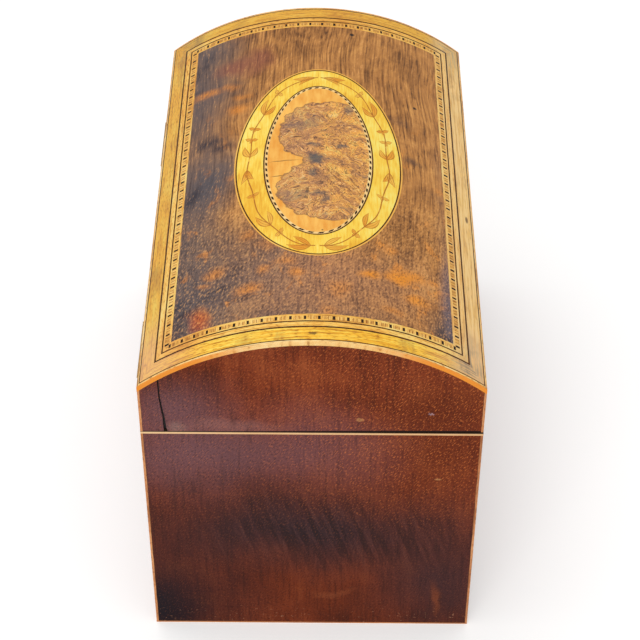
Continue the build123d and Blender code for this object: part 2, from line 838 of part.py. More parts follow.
with BuildPart() as links:
    for middle in link_middles:
        start, end = middle - link_thickness / 2, middle + link_thickness / 2
        block(start, end, -link_front, -link_back, base_height - link_drop, base_height)
        block(
            start, end, -link_front + link_bar, -link_back - link_bar,
            link_hole_foot, link_hole_top, mode=Mode.SUBTRACT,
        )
links.part.label = "links"
export_step(links.part, "parts/links.step")
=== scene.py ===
# %% [markdown]
# # A veneered tea caddy with a domed lid
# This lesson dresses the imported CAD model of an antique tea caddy: a mahogany box whose domed lid
# carries a frame of inlaid bands and an oval of satinwood and burr. The CAD model gives every
# piece its size and place. Blender adds what a cabinetmaker's hand and two hundred years add:
# thin lines, small blocks, an engraved garland, figure in the wood, old polish and wear.

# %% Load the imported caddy
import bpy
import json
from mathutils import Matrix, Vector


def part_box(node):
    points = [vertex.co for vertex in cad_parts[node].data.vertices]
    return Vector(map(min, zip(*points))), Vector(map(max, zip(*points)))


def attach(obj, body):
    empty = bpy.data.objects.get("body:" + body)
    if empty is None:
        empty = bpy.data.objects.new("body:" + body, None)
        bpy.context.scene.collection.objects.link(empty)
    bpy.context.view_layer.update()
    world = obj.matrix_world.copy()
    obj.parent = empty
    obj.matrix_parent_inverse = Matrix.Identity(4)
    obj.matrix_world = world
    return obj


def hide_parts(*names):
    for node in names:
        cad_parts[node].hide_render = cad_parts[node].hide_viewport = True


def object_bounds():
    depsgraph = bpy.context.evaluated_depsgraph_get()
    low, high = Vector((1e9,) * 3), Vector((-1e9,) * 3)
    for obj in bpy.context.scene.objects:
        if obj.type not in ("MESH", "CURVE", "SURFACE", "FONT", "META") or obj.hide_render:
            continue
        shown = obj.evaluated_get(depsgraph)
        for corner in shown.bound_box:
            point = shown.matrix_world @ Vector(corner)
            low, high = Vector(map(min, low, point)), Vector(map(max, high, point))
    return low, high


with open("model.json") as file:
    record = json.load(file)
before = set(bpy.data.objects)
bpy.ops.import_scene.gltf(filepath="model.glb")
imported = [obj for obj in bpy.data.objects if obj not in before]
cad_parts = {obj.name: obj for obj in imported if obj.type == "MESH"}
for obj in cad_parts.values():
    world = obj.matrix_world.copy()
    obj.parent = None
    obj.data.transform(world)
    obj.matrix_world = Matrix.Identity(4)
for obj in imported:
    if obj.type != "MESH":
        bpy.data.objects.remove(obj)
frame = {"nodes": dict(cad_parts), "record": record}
cad_low, cad_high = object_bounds()
print("CAD box in metres:", [round(v, 4) for v in (*cad_low, *cad_high)])

# %% [markdown]
# ## Sizes
# The lid is a slice of a cylinder that lies along X. Its radius follows from the depth of the box
# and the rise of the dome, so it is worked out here once, from the corners of the CAD nodes.

# %% Tools and sizes
import functools
import json

import bpy
import numpy as np
from mathutils import Matrix

mm = 0.001
veneer = 0.9 * mm
half_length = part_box("veneer_right")[1].x
half_depth = -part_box("veneer_front")[0].y
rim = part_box("rim_string")[1].z
top = cad_high.z
eave_over_rim = 20 * mm
eave = rim + eave_over_rim
near_end = -95 * mm
rise = top - eave
dome_radius = (half_depth**2 + rise**2) / (2 * rise)
dome_axis = top - dome_radius
arch_half = dome_radius * np.arcsin(half_depth / dome_radius)
seam_gap = 0.6 * mm
print(f"dome radius {dome_radius / mm:.2f} mm, half arch {arch_half / mm:.2f} mm")

# %% [markdown]
# ## The camera
# A camera that stands off one end of the caddy, above it, and looks down at 42 degrees with a long
# lens. The place and the turns were found by fitting the corners of the box to the photograph.

# %% Set up the camera
focal_pixels, picture_width = 1879.54, 640
yaw, pitch, roll = np.radians([-0.1974, 42.1743, -0.2403])
forward = np.array([np.cos(pitch) * np.cos(yaw), -np.cos(pitch) * np.sin(yaw), -np.sin(pitch)])
level = np.array([-np.sin(yaw), -np.cos(yaw), 0.0])
down = np.cross(forward, level)
right = np.cos(roll) * level + np.sin(roll) * down
down = np.cos(roll) * down - np.sin(roll) * level

camera = bpy.data.objects.new("camera", bpy.data.cameras.new("camera"))
camera.data.sensor_width = 36.0
camera.data.lens = focal_pixels * camera.data.sensor_width / picture_width
camera.data.clip_start, camera.data.clip_end = 0.01, 20.0
turn = Matrix(np.column_stack([right, -down, -forward]).tolist()).to_4x4()
camera.matrix_world = Matrix.Translation((-0.5244, -0.0040, 0.5365)) @ turn
bpy.context.scene.collection.objects.link(camera)
bpy.context.scene.camera = camera
print("lens", round(camera.data.lens, 2), "mm")

# %% [markdown]
# ## Floor and light
# The caddy stands on a plain white floor. A soft, even sky gives the plain level, and a large lamp
# above the caddy and another off its near end give the arch its shape. The sky shows at full
# strength to the camera alone. The floor glows a little to the camera and in reflections.

# %% Sky, lamps and floor
world = bpy.data.worlds.new("studio")
bpy.context.scene.world = world
world.use_nodes = True
sky = world.node_tree
sky.nodes.clear()
sky_out = sky.nodes.new("ShaderNodeOutputWorld")
sky_fill = sky.nodes.new("ShaderNodeBackground")
sky_fill.inputs["Color"].default_value = (1.0, 0.99, 0.975, 1.0)
sky_fill.inputs["Strength"].default_value = 0.60
sky_seen = sky.nodes.new("ShaderNodeBackground")
sky_seen.inputs["Strength"].default_value = 1.0
bpy.context.scene.view_settings.view_transform = "Standard"
sky_path = sky.nodes.new("ShaderNodeLightPath")
sky_mix = sky.nodes.new("ShaderNodeMixShader")
sky.links.new(sky_path.outputs["Is Camera Ray"], sky_mix.inputs[0])
sky.links.new(sky_fill.outputs[0], sky_mix.inputs[1])
sky.links.new(sky_seen.outputs[0], sky_mix.inputs[2])
sky.links.new(sky_mix.outputs[0], sky_out.inputs[0])


def soft_lamp(name, place, aim, size, power):
    """A square area lamp at a place, turned so that it looks at a point."""
    lamp = bpy.data.objects.new(name, bpy.data.lights.new(name, "AREA"))
    lamp.data.size, lamp.data.energy = size, power
    lamp.location = place
    away = Matrix.Translation(place).translation - Matrix.Translation(aim).translation
    lamp.rotation_euler = away.to_track_quat("Z", "Y").to_euler()
    bpy.context.scene.collection.objects.link(lamp)


soft_lamp("lamp_above", (0.15, 0.20, 1.3), (0, 0, 0.1), 1.0, 5.0)
soft_lamp("lamp_near", (-1.2, 0.3, 0.7), (-0.09, 0, 0.06), 0.9, 5.5)

# %% [markdown]
# ## A small language for finishes
# A material in Blender is a sheet of nodes. Written out node by node it is long and hard to read,
# so a wire here knows arithmetic: `1 - grain * 0.5` adds the two Math nodes that it names. Colours
# and vectors go through Mix and Vector Math nodes. Any other node comes from `node`.


# %% Wires that know arithmetic
def tint(red, green, blue):
    """A colour as seen on a screen, 0 to 255, turned into the linear values that shaders use."""
    seen = np.array([red, green, blue]) / 255
    linear = np.where(seen <= 0.04045, seen / 12.92, ((seen + 0.055) / 1.055) ** 2.4)
    return (*linear.tolist(), 1.0)


class Wire:
    """One output of a shader node. Each operator adds a Math node and gives its output."""

    def __init__(self, finish, socket):
        self.finish, self.socket = finish, socket

    def math(self, operation, *terms, clamp=False):
        return self.finish.node("ShaderNodeMath", terms, operation=operation, use_clamp=clamp)

    def __add__(self, other):
        return self.math("ADD", self, other)

    def __radd__(self, other):
        return self.math("ADD", other, self)

    def __sub__(self, other):
        return self.math("SUBTRACT", self, other)

    def __rsub__(self, other):
        return self.math("SUBTRACT", other, self)

    def __mul__(self, other):
        return self.math("MULTIPLY", self, other)

    def __rmul__(self, other):
        return self.math("MULTIPLY", other, self)

    def clip(self):
        """The value held between 0 and 1."""
        return self.math("MULTIPLY", self, 1.0, clamp=True)

    def most(self, other):
        return self.math("MAXIMUM", self, other)

    def part(self):
        return self.math("FRACT", self)

    def size(self):
        return self.math("ABSOLUTE", self)


def strongest(masks):
    """The largest of several masks, point by point."""
    return functools.reduce(Wire.most, masks)


class Finish:
    """A material in the making, with the few nodes that wood, metal and bone need."""

    def __init__(self, name):
        self.material = bpy.data.materials.new(name)
        self.material.use_nodes = True
        self.sheet = self.material.node_tree
        self.sheet.nodes.clear()
        self.place = self.node("ShaderNodeTexCoord", out="Object")

    def node(self, kind, inputs=(), out=0, stops=None, **settings):
        """Adds a node: its settings first, then its inputs by number or name, and gives one output."""
        made = self.sheet.nodes.new(kind)
        for key, value in settings.items():
            setattr(made, key, value)
        if stops:
            ramp = made.color_ramp
            while len(ramp.elements) < len(stops):
                ramp.elements.new(0.5)
            for element, (position, colour) in zip(ramp.elements, stops):
                element.position, element.color = position, colour
        pairs = inputs.items() if isinstance(inputs, dict) else enumerate(inputs)
        for key, value in pairs:
            if isinstance(value, Wire):
                self.sheet.links.new(value.socket, made.inputs[key])
            else:
                made.inputs[key].default_value = value
        return Wire(self, made.outputs[out])

    def stretch(self, scale, vector=None, shift=(0, 0, 0), turn=(0, 0, 0)):
        """Coordinates moved, turned and scaled by a Mapping node."""
        source = vector or self.place
        inputs = {"Vector": source, "Location": shift, "Rotation": turn, "Scale": scale}
        return self.node("ShaderNodeMapping", inputs)

    def noise(self, vector, scale=1.0, detail=2.0, rough=0.5, twist=0.0, out=0):
        """Cloudy noise from 0 to 1, with its mean near one half."""
        inputs = {
            "Vector": vector, "Scale": scale, "Detail": detail, "Roughness": rough, "Distortion": twist,
        }
        return self.node("ShaderNodeTexNoise", inputs, out=out)

    def step(self, value, low, high):
        """0 below low, 1 above high, and a smooth rise between; low may be the larger one."""
        inputs = {"Value": value, "From Min": low, "From Max": high}
        return self.node("ShaderNodeMapRange", inputs, interpolation_type="SMOOTHSTEP")

    def ramp(self, value, *stops):
        return self.node("ShaderNodeValToRGB", {"Fac": value}, stops=stops)

    def mix(self, factor, first, second):
        """Colour first where factor is 0, second where it is 1."""
        return self.node("ShaderNodeMix", {0: factor, 6: first, 7: second}, out=2, data_type="RGBA")

    def vector(self, operation, *terms, out=0):
        return self.node("ShaderNodeVectorMath", terms, out=out, operation=operation)

    def blob(self, vector, centre, radii, soft=0.5):
        """1 in the middle of an egg-shaped patch, and a smooth fall to 0 at its radii."""
        offset = self.vector("SUBTRACT", vector, centre)
        share = self.vector("DIVIDE", offset, radii)
        return self.step(self.vector("LENGTH", share, out="Value"), 1.0, 1.0 - soft)

    def patch(self, vector, x, y, long, wide, soft=1.0, level=133, deep=30):
        """A patch on the dome: its place along and across the lid, its half length and half width,
        and the height and half depth of the egg that it is cut from, all in millimetres."""
        return self.blob(vector, (x * mm, y * mm, level * mm), (long * mm, wide * mm, deep * mm), soft)

    def spots(self, vector, places):
        """The strongest of several patches on the dome. Each is its place along and across the lid,
        its half length and half width, in millimetres, and its strength."""
        return strongest(self.patch(vector, *place) * much for *place, much in places)

    def end_patch(self, vector, y, z, wide, high, soft=1.0, deep=60):
        """A patch on the near end: its place across and up it, its half width and half height, and
        the half depth of the egg that it is cut from, all in millimetres."""
        return self.blob(vector, (near_end, y * mm, z * mm), (deep * mm, wide * mm, high * mm), soft)

    def axis(self, vector, letter):
        """One coordinate of a vector."""
        return self.node("ShaderNodeSeparateXYZ", {"Vector": vector}, out=letter)

    def wander(self, scale, reach, detail=2.0):
        """The place on the object, pushed about by noise, so that a patch gets a ragged edge."""
        cloud = self.noise(self.place, scale, detail, out="Color")
        push = self.vector("SUBTRACT", cloud, (0.5, 0.5, 0.5))
        push = self.vector("SCALE", push)
        push.socket.node.inputs["Scale"].default_value = reach
        return self.vector("ADD", self.place, push)

    def shine(self, colour, roughness, height=None, depth=0.1 * mm, **constants):
        """Ends the sheet in a Principled shader. The height feeds a Bump node, depth in metres."""
        inputs = {"Base Color": colour, "Roughness": roughness}
        for key, value in constants.items():
            inputs[key.replace("_", " ")] = value
        if height is not None:
            bump = {"Distance": depth, "Height": height}
            inputs["Normal"] = self.node("ShaderNodeBump", bump, out="Normal")
        self.end_in(self.node("ShaderNodeBsdfPrincipled", inputs))
        return self.material

    def end_in(self, shader):
        """Joins the last shader to the output of the sheet."""
        made = self.sheet.nodes.new("ShaderNodeOutputMaterial")
        self.sheet.links.new(shader.socket, made.inputs["Surface"])


print("the sheet language is ready")

# %% Floor
floor_side = 6.0
floor_mesh = bpy.data.meshes.new("floor")
across = floor_side / 2
floor_mesh.from_pydata(
    [(-across, -across, 0), (across, -across, 0), (across, across, 0), (-across, across, 0)],
    [], [(0, 1, 2, 3)],
)
floor = bpy.data.objects.new("floor", floor_mesh)
floor.location.z = -0.05 * mm
bpy.context.scene.collection.objects.link(floor)

paper = Finish("white_paper")
paper_shade = paper.node("ShaderNodeBsdfDiffuse", {"Color": (0.88, 0.88, 0.88, 1.0)})
path = paper.sheet.nodes.new("ShaderNodeLightPath")
seen = Wire(paper, path.outputs["Is Camera Ray"]).most(Wire(paper, path.outputs["Is Glossy Ray"]))
seen = seen.most(Wire(paper, path.outputs["Is Transmission Ray"]))
glow = paper.node("ShaderNodeEmission", {"Color": (1, 1, 1, 1), "Strength": 0.30})
lit = paper.node("ShaderNodeAddShader", (paper_shade, glow))
paper.end_in(paper.node("ShaderNodeMixShader", (seen, paper_shade, lit)))
floor_mesh.materials.append(paper.material)
print("floor", floor_side, "m wide")

# %% [markdown]
# ## Woods
# Old polished wood is not one colour. Broad clouds of light and dark come from the tree and from
# two centuries of hands and sun, fine streaks follow the grain, and each pore is a short dark or
# bright fleck. So every wood here is built the same way: clouds first, then streaks, then flecks,
# and last the marks that belong to one place. Coordinates are those of the object itself, in
# metres, so a scale of 1000 makes noise a millimetre wide.


# %% Marks of the near end
def near_end_marks(wood, colour, brush):
    """The marks of the end that faces the eye, where the photograph shows them: a pale lilac painted sheen
    above, ruddy wood on one side, darker tone across the middle and darkest in a lower corner. On top
    of them lie a brushed dark band, dust under the seam, embers, chips and nicks along the foot."""
    near = wood.wander(30, 0.024, 4.0)
    # painted_sheen is a painted reflection: a pale lilac haze laid on the upper part of the end
    painted_sheen, ruddy = tint(114, 76, 80), tint(98, 38, 14)
    # deep_tone and deepest_tone only darken the wood: a band across the middle, a low patch and a lower
    # corner
    deep_tone, deepest_tone = tint(56, 36, 40), tint(22, 15, 25)
    for shade, marks in (
        (painted_sheen, ((38, 86, 50, 32, 0.95), (2, 90, 46, 28, 0.65), (42, 108, 30, 22, 0.90))),
        (ruddy, ((-42, 106, 32, 28, 0.85), (-44, 84, 34, 22, 0.55), (2, 16, 44, 24, 0.50))),
        (deep_tone, ((2, 50, 92, 36, 1.00), (-46, 22, 42, 44, 0.85))),
        (deepest_tone, ((54, 8, 46, 56, 1.00),)),
    ):
        for y, z, wide, high, much in marks:
            colour = wood.mix(wood.end_patch(near, y, z, wide, high) * much, colour, shade)
    band = wood.end_patch(near, -10, 48, 66, 30, 0.8)
    colour = wood.mix(band * wood.step(brush, 0.58, 0.40) * 0.50, colour, tint(26, 17, 18))
    colour = wood.mix(band * wood.step(brush, 0.50, 0.72) * 0.20, colour, tint(122, 80, 68))
    dusty = wood.end_patch(wood.wander(60, 0.010), 26, 100.5, 24, 4.5, 0.9)
    colour = wood.mix(dusty * 0.50, colour, tint(150, 102, 96))
    ember = wood.end_patch(near, -6, 15, 10, 2.6, 0.9, 50)
    ember = ember.most(wood.end_patch(near, -44, 12, 2.6, 12, 0.9, 50))
    colour = wood.mix(ember * 0.6, colour, tint(136, 68, 38))
    chips = wood.end_patch(wood.wander(900, 0.0012), -15.6, 103.9, 1.6, 1.1, 0.5, 50)
    chips = chips.most(wood.end_patch(wood.place, -42.1, 76, 1.6, 0.6, 0.6, 50))
    colour = wood.mix(chips * 0.7, colour, tint(190, 134, 84))
    pale = wood.end_patch(wood.wander(1800, 0.0026), -38.6, 106.8, 1, 0.6, 0.5, 50)
    colour = wood.mix(pale * 0.60, colour, tint(196, 172, 184))
    worn = wood.end_patch(wood.wander(500, 0.002), 44, 100, 4.5, 4, 0.9, 50)
    colour = wood.mix(worn * 0.55, colour, tint(150, 118, 110))
    low = wood.step(wood.axis(wood.place, "Z"), 0.014, 0.002)
    nicks = wood.step(wood.noise(wood.stretch((900, 900, 1500)), 1.0, 1.0), 0.70, 0.76)
    colour = wood.mix(nicks * low * 0.8, colour, tint(172, 120, 90))
    return colour


# %% Mahogany of the sides
def side_mahogany(name, seen_end):
    """Red-brown mahogany with upright grain. seen_end adds the marks of the weathered near end, its painted
    sheen and the painted shade of the seam.
    """
    wood = Finish(name)
    streaks = wood.noise(wood.stretch((900, 900, 60)), 1.0, 3.0, 0.6)
    slanted = wood.stretch((1, 1, 1), turn=(0.30, 0, 0))
    brush = wood.noise(wood.stretch((420, 420, 40), slanted), 1.0, 3.0, 0.65)
    tilted = wood.stretch((1, 1, 1), turn=(-0.60, 0, 0))
    flecks = wood.noise(wood.stretch((2600, 2600, 950), tilted), 1.0, 2.0, 0.55)
    clouds = wood.noise(wood.stretch((16, 16, 34)), 1.0, 3.0, 0.55, 0.6)
    blotches = wood.noise(wood.stretch((80, 80, 50)), 1.0, 4.0, 0.62)
    tone = clouds * 0.42 + blotches * 0.33 + streaks * 0.25
    colour = wood.ramp(
        tone,
        (0.38, tint(84, 33, 15)), (0.47, tint(108, 44, 20)),
        (0.55, tint(127, 55, 27)), (0.66, tint(150, 74, 38)),
    )
    if seen_end:
        colour = near_end_marks(wood, colour, brush)
    lively = 0.16 + 0.22 * wood.step(clouds, 0.36, 0.56)
    if seen_end:
        high = wood.step(wood.axis(wood.place, "Z"), 0.040, 0.090)
        right = wood.step(wood.axis(wood.place, "Y"), 0.030, -0.030)
        lively = 0.06 + 0.14 * high + 0.26 * high * right
    spots = wood.step(flecks, 0.56, 0.68) * lively * 1.4
    colour = wood.mix(spots.clip(), colour, tint(222, 124, 62))
    pores = wood.step(flecks, 0.47, 0.34)
    colour = wood.mix(pores * 0.46, colour, tint(28, 6, 4))
    colour = wood.mix(wood.step(streaks, 0.47, 0.33) * 0.20, colour, tint(44, 20, 14))
    if seen_end:
        gape = wood.step(wood.axis(wood.place, "Y"), 0.044, -0.048)
        # The painted shade of the seam: a dark line that climbs toward the side where the lid gapes
        faded, full, below = 0.36 * mm, 0.16 * mm, 0.2 * mm
        seam_shade = wood.step(wood.axis(wood.place, "Z") - gape * 0.95 * mm, rim + faded, rim + full)
        seam_shade = seam_shade * wood.step(wood.axis(wood.place, "Z"), rim - below, rim)
        colour = wood.mix(seam_shade * 0.94, colour, tint(14, 6, 5))
    rough = 0.28 + clouds * 0.14 + streaks * 0.06
    height = flecks * 0.5 + streaks * 0.5
    return wood.shine(colour, rough, height, 0.04 * mm, Specular_IOR_Level=0.07)


side_wood = side_mahogany("mahogany_sides", False)
near_wood = side_mahogany("mahogany_near_end", True)
print("made", side_wood.name, near_wood.name)


# %% Mahogany of the top
def top_mahogany():
    """Mottled brown mahogany with its grain along the lid and patches of orange and blue-black."""
    wood = Finish("mahogany_top")
    near = wood.wander(40, 0.018, 5.0)
    bent = wood.wander(14, 0.014, 1.0)
    mottle = wood.noise(wood.stretch((90, 130, 130), bent), 1.0, 5.0, 0.7, 0.6)
    patches = wood.noise(wood.stretch((18, 26, 26), shift=(3.1, 1.7, 0.4)), 1.0, 4.0, 0.6, 0.5)
    streaks = wood.noise(wood.stretch((60, 1300, 1300), bent), 1.0, 3.0, 0.66)
    leaning = wood.stretch((1, 1, 1), bent, turn=(0, 0, 0.30))
    ripple = wood.noise(wood.stretch((200, 1250, 1250), leaning), 1.0, 3.0, 0.6)
    speckle = wood.noise(wood.stretch((780, 1500, 1500), leaning), 1.0, 3.0, 0.6)
    front = wood.step(wood.axis(bent, "X"), 0.004, -0.034)
    fine = speckle * front + (1.0 - front) * (streaks * 0.4 + ripple * 0.3 + speckle * 0.3)
    tone = patches * 0.30 + mottle * 0.34 + streaks * 0.36
    colour = wood.ramp(
        tone,
        (0.37, tint(108, 68, 38)), (0.45, tint(158, 106, 58)),
        (0.53, tint(192, 132, 72)), (0.63, tint(226, 164, 92)),
    )
    lilac = wood.patch(near, -66, 0, 34, 60, 0.9, 133, 40)
    colour = wood.mix(lilac * 0.35, colour, tint(190, 140, 118))
    shaded = wood.step(wood.axis(near, "Y"), 0.024, 0.040)
    colour = wood.mix(shaded * 0.34, colour, tint(80, 86, 94))
    for cool in (
        (-2, 40, 30, 26, 0.95), (50, 42, 46, 24, 0.85), (-66, 44, 44, 26, 0.95), (-30, 44, 40, 20, 0.70),
        (82, 44, 20, 24, 0.85), (-84, -48, 24, 16, 0.90), (-86, 14, 14, 56, 0.60), (-20, -46, 60, 9, 0.50),
        (-64, -47, 40, 8, 1.00), (-56, 20, 40, 30, 0.60), (-72, 34, 22, 20, 0.60),
    ):
        colour = wood.mix(wood.spots(near, [cool]), colour, tint(86, 82, 88))
    embers = wood.noise(wood.stretch((90, 130, 130), near, shift=(0.7, 0.2, 0)), 1.0, 3.0, 0.6)
    embers = wood.step(embers, 0.58, 0.72)
    bright_spots = (
        (-79, 36, 8, 6, 1.0), (48, 40, 5, 9, 1.0), (34, 26, 4, 6, 0.8), (49, 31, 4, 5, 0.6),
        (42, 26, 3, 4, 0.6), (-60, 35, 3, 4, 0.6), (-54, 33, 4, 5, 0.8), (-60, 18, 3, 4, 0.8),
        (-67, 22, 4, 6, 0.9), (-63, 5, 4, 6, 1.0), (-58, 10, 4, 9, 0.7), (-48, 17, 5, 8, 0.6),
        (-42, 24, 5, 5, 0.6), (-60, -19, 4, 6, 1.0), (-58, -29, 5, 8, 1.0), (-68, -34, 4, 7, 0.9),
        (-57, -37, 3, 4, 0.8), (-44, -24, 4, 4, 0.8), (-70, -11, 5, 6, 0.6), (-78, -26, 3, 4, 0.6),
        (-80, -4, 5, 6, 0.5), (-4, -42, 3, 4, 0.6),
    )
    orange = embers * wood.step(wood.axis(wood.place, "X"), 0.090, -0.070) * 0.75
    orange = orange.most(wood.spots(near, bright_spots))
    orange = orange * (0.60 + 0.40 * wood.step(speckle, 0.42, 0.54))
    colour = wood.mix(orange * 0.80, colour, tint(238, 146, 50))
    red = wood.patch(near, -80, 37, 8, 6, 0.8, 130, 30)
    colour = wood.mix(red * 0.6, colour, tint(176, 66, 48))
    plum = wood.patch(near, 63.5, 22.8, 12, 10, 0.9, 130, 30)
    plum = plum.most(wood.patch(near, 62.4, 29.2, 8, 10, 0.9, 130, 30))
    colour = wood.mix(plum * 0.6, colour, tint(140, 76, 66))
    haze = wood.patch(wood.place, -62, -46.2, 34, 6, 0.6, 125, 30)
    colour = wood.mix(haze * 0.5, colour, tint(118, 108, 122))
    dark = wood.spots(near, (
        (-74, 48, 20, 10, 1.0), (76, 41, 6, 4, 0.6), (70, 42, 5, 5, 0.7), (65, 45, 7, 4, 0.9),
        (52, 42, 4, 4, 0.5), (60, 48, 8, 3, 0.8), (19, 38, 5, 7, 1.0), (14, 33, 4, 7, 0.9),
        (26, 46, 7, 3, 0.7), (-8, 44, 8, 4, 1.0), (-38, 45, 9, 3, 0.7), (-50, 45, 8, 4, 0.9),
        (-69, 44, 7, 6, 1.0), (-75, 42, 4, 8, 0.9), (-64, 30, 3, 6, 0.8), (-71, 22, 3, 6, 0.6),
        (-57, 28, 3, 5, 0.5), (84, 51, 7, 4, 0.8), (-49, 17, 3, 4, 0.3), (-83, -44, 6, 6, 1.0),
        (17, -47, 4, 3, 0.6), (7, -32, 3, 6, 0.7), (30, -30, 3, 7, 0.5), (-69, 32, 4, 7, 0.5),
    ))
    colour = wood.mix(dark * (0.55 + 0.45 * wood.step(fine, 0.56, 0.44)) * 0.92, colour, tint(26, 36, 54))
    colour = wood.mix(wood.step(streaks, 0.48, 0.34) * (0.34 - 0.10 * front), colour, tint(70, 42, 24))
    colour = wood.mix(wood.step(fine, 0.53, 0.66) * 0.42, colour, tint(246, 180, 112))
    colour = wood.mix(wood.step(fine, 0.47, 0.35) * 0.55, colour, tint(62, 42, 36))
    gold = wood.spots(near, ((-60, -19, 5, 6, 0.9), (-58, -29, 5, 7, 1.0), (-68, -34, 4, 5, 0.7)))
    colour = wood.mix(gold * (0.35 + 0.35 * wood.step(speckle, 0.40, 0.56)), colour, tint(240, 150, 36))
    dents = wood.patch(wood.place, 77.8, -13.6, 1.2, 1.2, 0.6, 137, 4)
    dents = dents.most(wood.patch(wood.place, 40, -36.5, 1, 1, 0.6, 131, 4))
    colour = wood.mix(dents * 0.9, colour, tint(22, 26, 32))
    rough = 0.32 + mottle * 0.16
    height = streaks * 0.6 + fine * 0.4 - dents * 2.0
    return wood.shine(colour, rough, height, 0.04 * mm, Specular_IOR_Level=0.12)


top_wood = top_mahogany()
print("made", top_wood.name)


# %% Light woods of the bands and strings
def banding(name, dark, mid, light, frame_wear=0.0, seam_shade_top=False, outer_shade=None, joint=False):
    """A light wood whose grain follows the Flow map: u runs along the strip, v across it. outer_shade is a
    painted shade, the deeper colour of the faces that turn away from the dome, where v is near nought.
    joint darkens the edge that lies against the veneer, where v is nearly the veneer's thickness."""
    wood = Finish(name)
    flow = wood.node("ShaderNodeUVMap", uv_map="Flow")
    streaks = wood.noise(wood.stretch((60, 1300, 1), flow), 1.0, 3.0, 0.6)
    flecks = wood.noise(wood.stretch((500, 2600, 1), flow), 1.0, 2.0, 0.5)
    clouds = wood.noise(wood.place, 34.0, 3.0, 0.6, 0.4)
    tone = clouds * 0.30 + streaks * 0.45 + flecks * 0.25
    colour = wood.ramp(tone, (0.40, dark), (0.50, mid), (0.61, light))
    colour = wood.mix(wood.step(flecks, 0.45, 0.32) * 0.60, colour, tint(136, 78, 20))
    colour = wood.mix(wood.step(streaks, 0.44, 0.32) * 0.60, colour, tint(150, 86, 24))
    if frame_wear:
        x, y = wood.axis(wood.place, "X"), wood.axis(wood.place, "Y")
        elsewhere = wood.step(x, -0.090, -0.080)
        colour = wood.mix(elsewhere * 0.40 * frame_wear, colour, tint(206, 150, 74))
        right = wood.step(y, -0.042, -0.049) * (0.45 + 0.55 * wood.step(streaks, 0.42, 0.55))
        colour = wood.mix(right * (0.60 + 0.28 * frame_wear), colour, tint(255, 216, 148))
        grime = wood.noise(wood.stretch((40, 90, 90), shift=(0.3, 0.9, 0)), 1.0, 4.0, 0.66, 0.5)
        corners = strongest(
            wood.patch(wood.place, *corner, 10, 1.0, 122, 20)
            for corner in ((-90, -50, 22), (90, 50, 16), (90, -50, 20))
        )
        worn = wood.step(grime, 0.54, 0.70) * 0.45
        colour = wood.mix(worn * frame_wear, colour, tint(150, 104, 56))
        near_ends = wood.step(wood.axis(wood.place, "X"), -0.060, -0.086) * wood.step(y.size(), 0.030, 0.052)
        colour = wood.mix(near_ends * 0.45 * frame_wear, colour, tint(240, 192, 150))
        ink = corners * wood.step(streaks * 0.6 + grime * 0.4, 0.44, 0.60)
        colour = wood.mix((ink * frame_wear).clip() * 0.70, colour, tint(70, 74, 84))
        marks = wood.patch(wood.wander(700, 0.0016), -90.9, -0.3, 1, 1.6, 0.5, 138, 10)
        marks = marks.most(wood.patch(wood.place, -12, -53.5, 2.2, 0.6, 0.5, 120, 10))
        colour = wood.mix(marks * 0.8, colour, tint(86, 52, 20))
    if outer_shade:
        # Painted shade: the string's outer faces get a deeper orange than its pale top, most on the end
        # arches toward the eaves
        toward_eave = wood.step(wood.axis(wood.place, "Y").size(), 0.012, 0.040)
        toward_eave = toward_eave * wood.step(wood.axis(wood.place, "X").size(), 0.0930, 0.0940)
        face = wood.step(wood.axis(flow, "Y"), 0.34 * mm, 0.10 * mm)
        colour = wood.mix(face * (0.12 + 0.88 * toward_eave), colour, outer_shade)
    if seam_shade_top:
        # Painted shade: the top of the rim string, inside the seam under the lid, is painted near black
        up = wood.step(wood.axis(wood.place, "Z"), rim - 0.34 * mm, rim - 0.08 * mm)
        colour = wood.mix(up * 0.94, colour, tint(30, 17, 12))
    if joint:
        seam = wood.step(wood.axis(flow, "Y"), 0.74 * mm, 0.88 * mm)
        colour = wood.mix(seam * 0.75, colour, tint(70, 36, 20))
    rough = 0.36 + streaks * 0.1
    height = streaks * 0.6 + flecks * 0.4
    return wood.shine(colour, rough, height, 0.04 * mm, Specular_IOR_Level=0.25)


satinwood = banding("satinwood", tint(212, 136, 22), tint(255, 192, 50), tint(255, 224, 98), frame_wear=1.0)
block_gold = banding("satinwood_blocks", tint(192, 128, 56), tint(236, 178, 84), tint(255, 214, 130))
boxwood = banding("boxwood", tint(228, 152, 52), tint(255, 194, 84), tint(255, 226, 134), frame_wear=0.35)
pale_box = banding("boxwood_rope", tint(232, 180, 100), tint(252, 210, 136), tint(255, 230, 166))
rim_wood = banding(
    "boxwood_rim", tint(206, 152, 100), tint(234, 186, 132), tint(250, 212, 162), seam_shade_top=True,
)
post_wood = banding("boxwood_posts", tint(164, 98, 54), tint(206, 134, 80), tint(226, 162, 108), joint=True)
arris_wood = banding(
    "boxwood_arris", tint(232, 176, 100), tint(250, 208, 132), tint(255, 230, 168), outer_shade=tint(238, 146, 40),
)
print("made", [m.name for m in (satinwood, block_gold, boxwood, pale_box, rim_wood, post_wood, arris_wood)])


# %% Dark lines and other plain finishes
def plain(name, dark, light, rough, scale=300.0, **constants):
    """A fine-grained material whose colour drifts a little between two shades."""
    stuff = Finish(name)
    grain = stuff.noise(stuff.place, scale, 4.0, 0.6)
    colour = stuff.ramp(grain, (0.35, dark), (0.65, light))
    return stuff.shine(colour, rough + grain * 0.12, grain, 0.03 * mm, **constants)


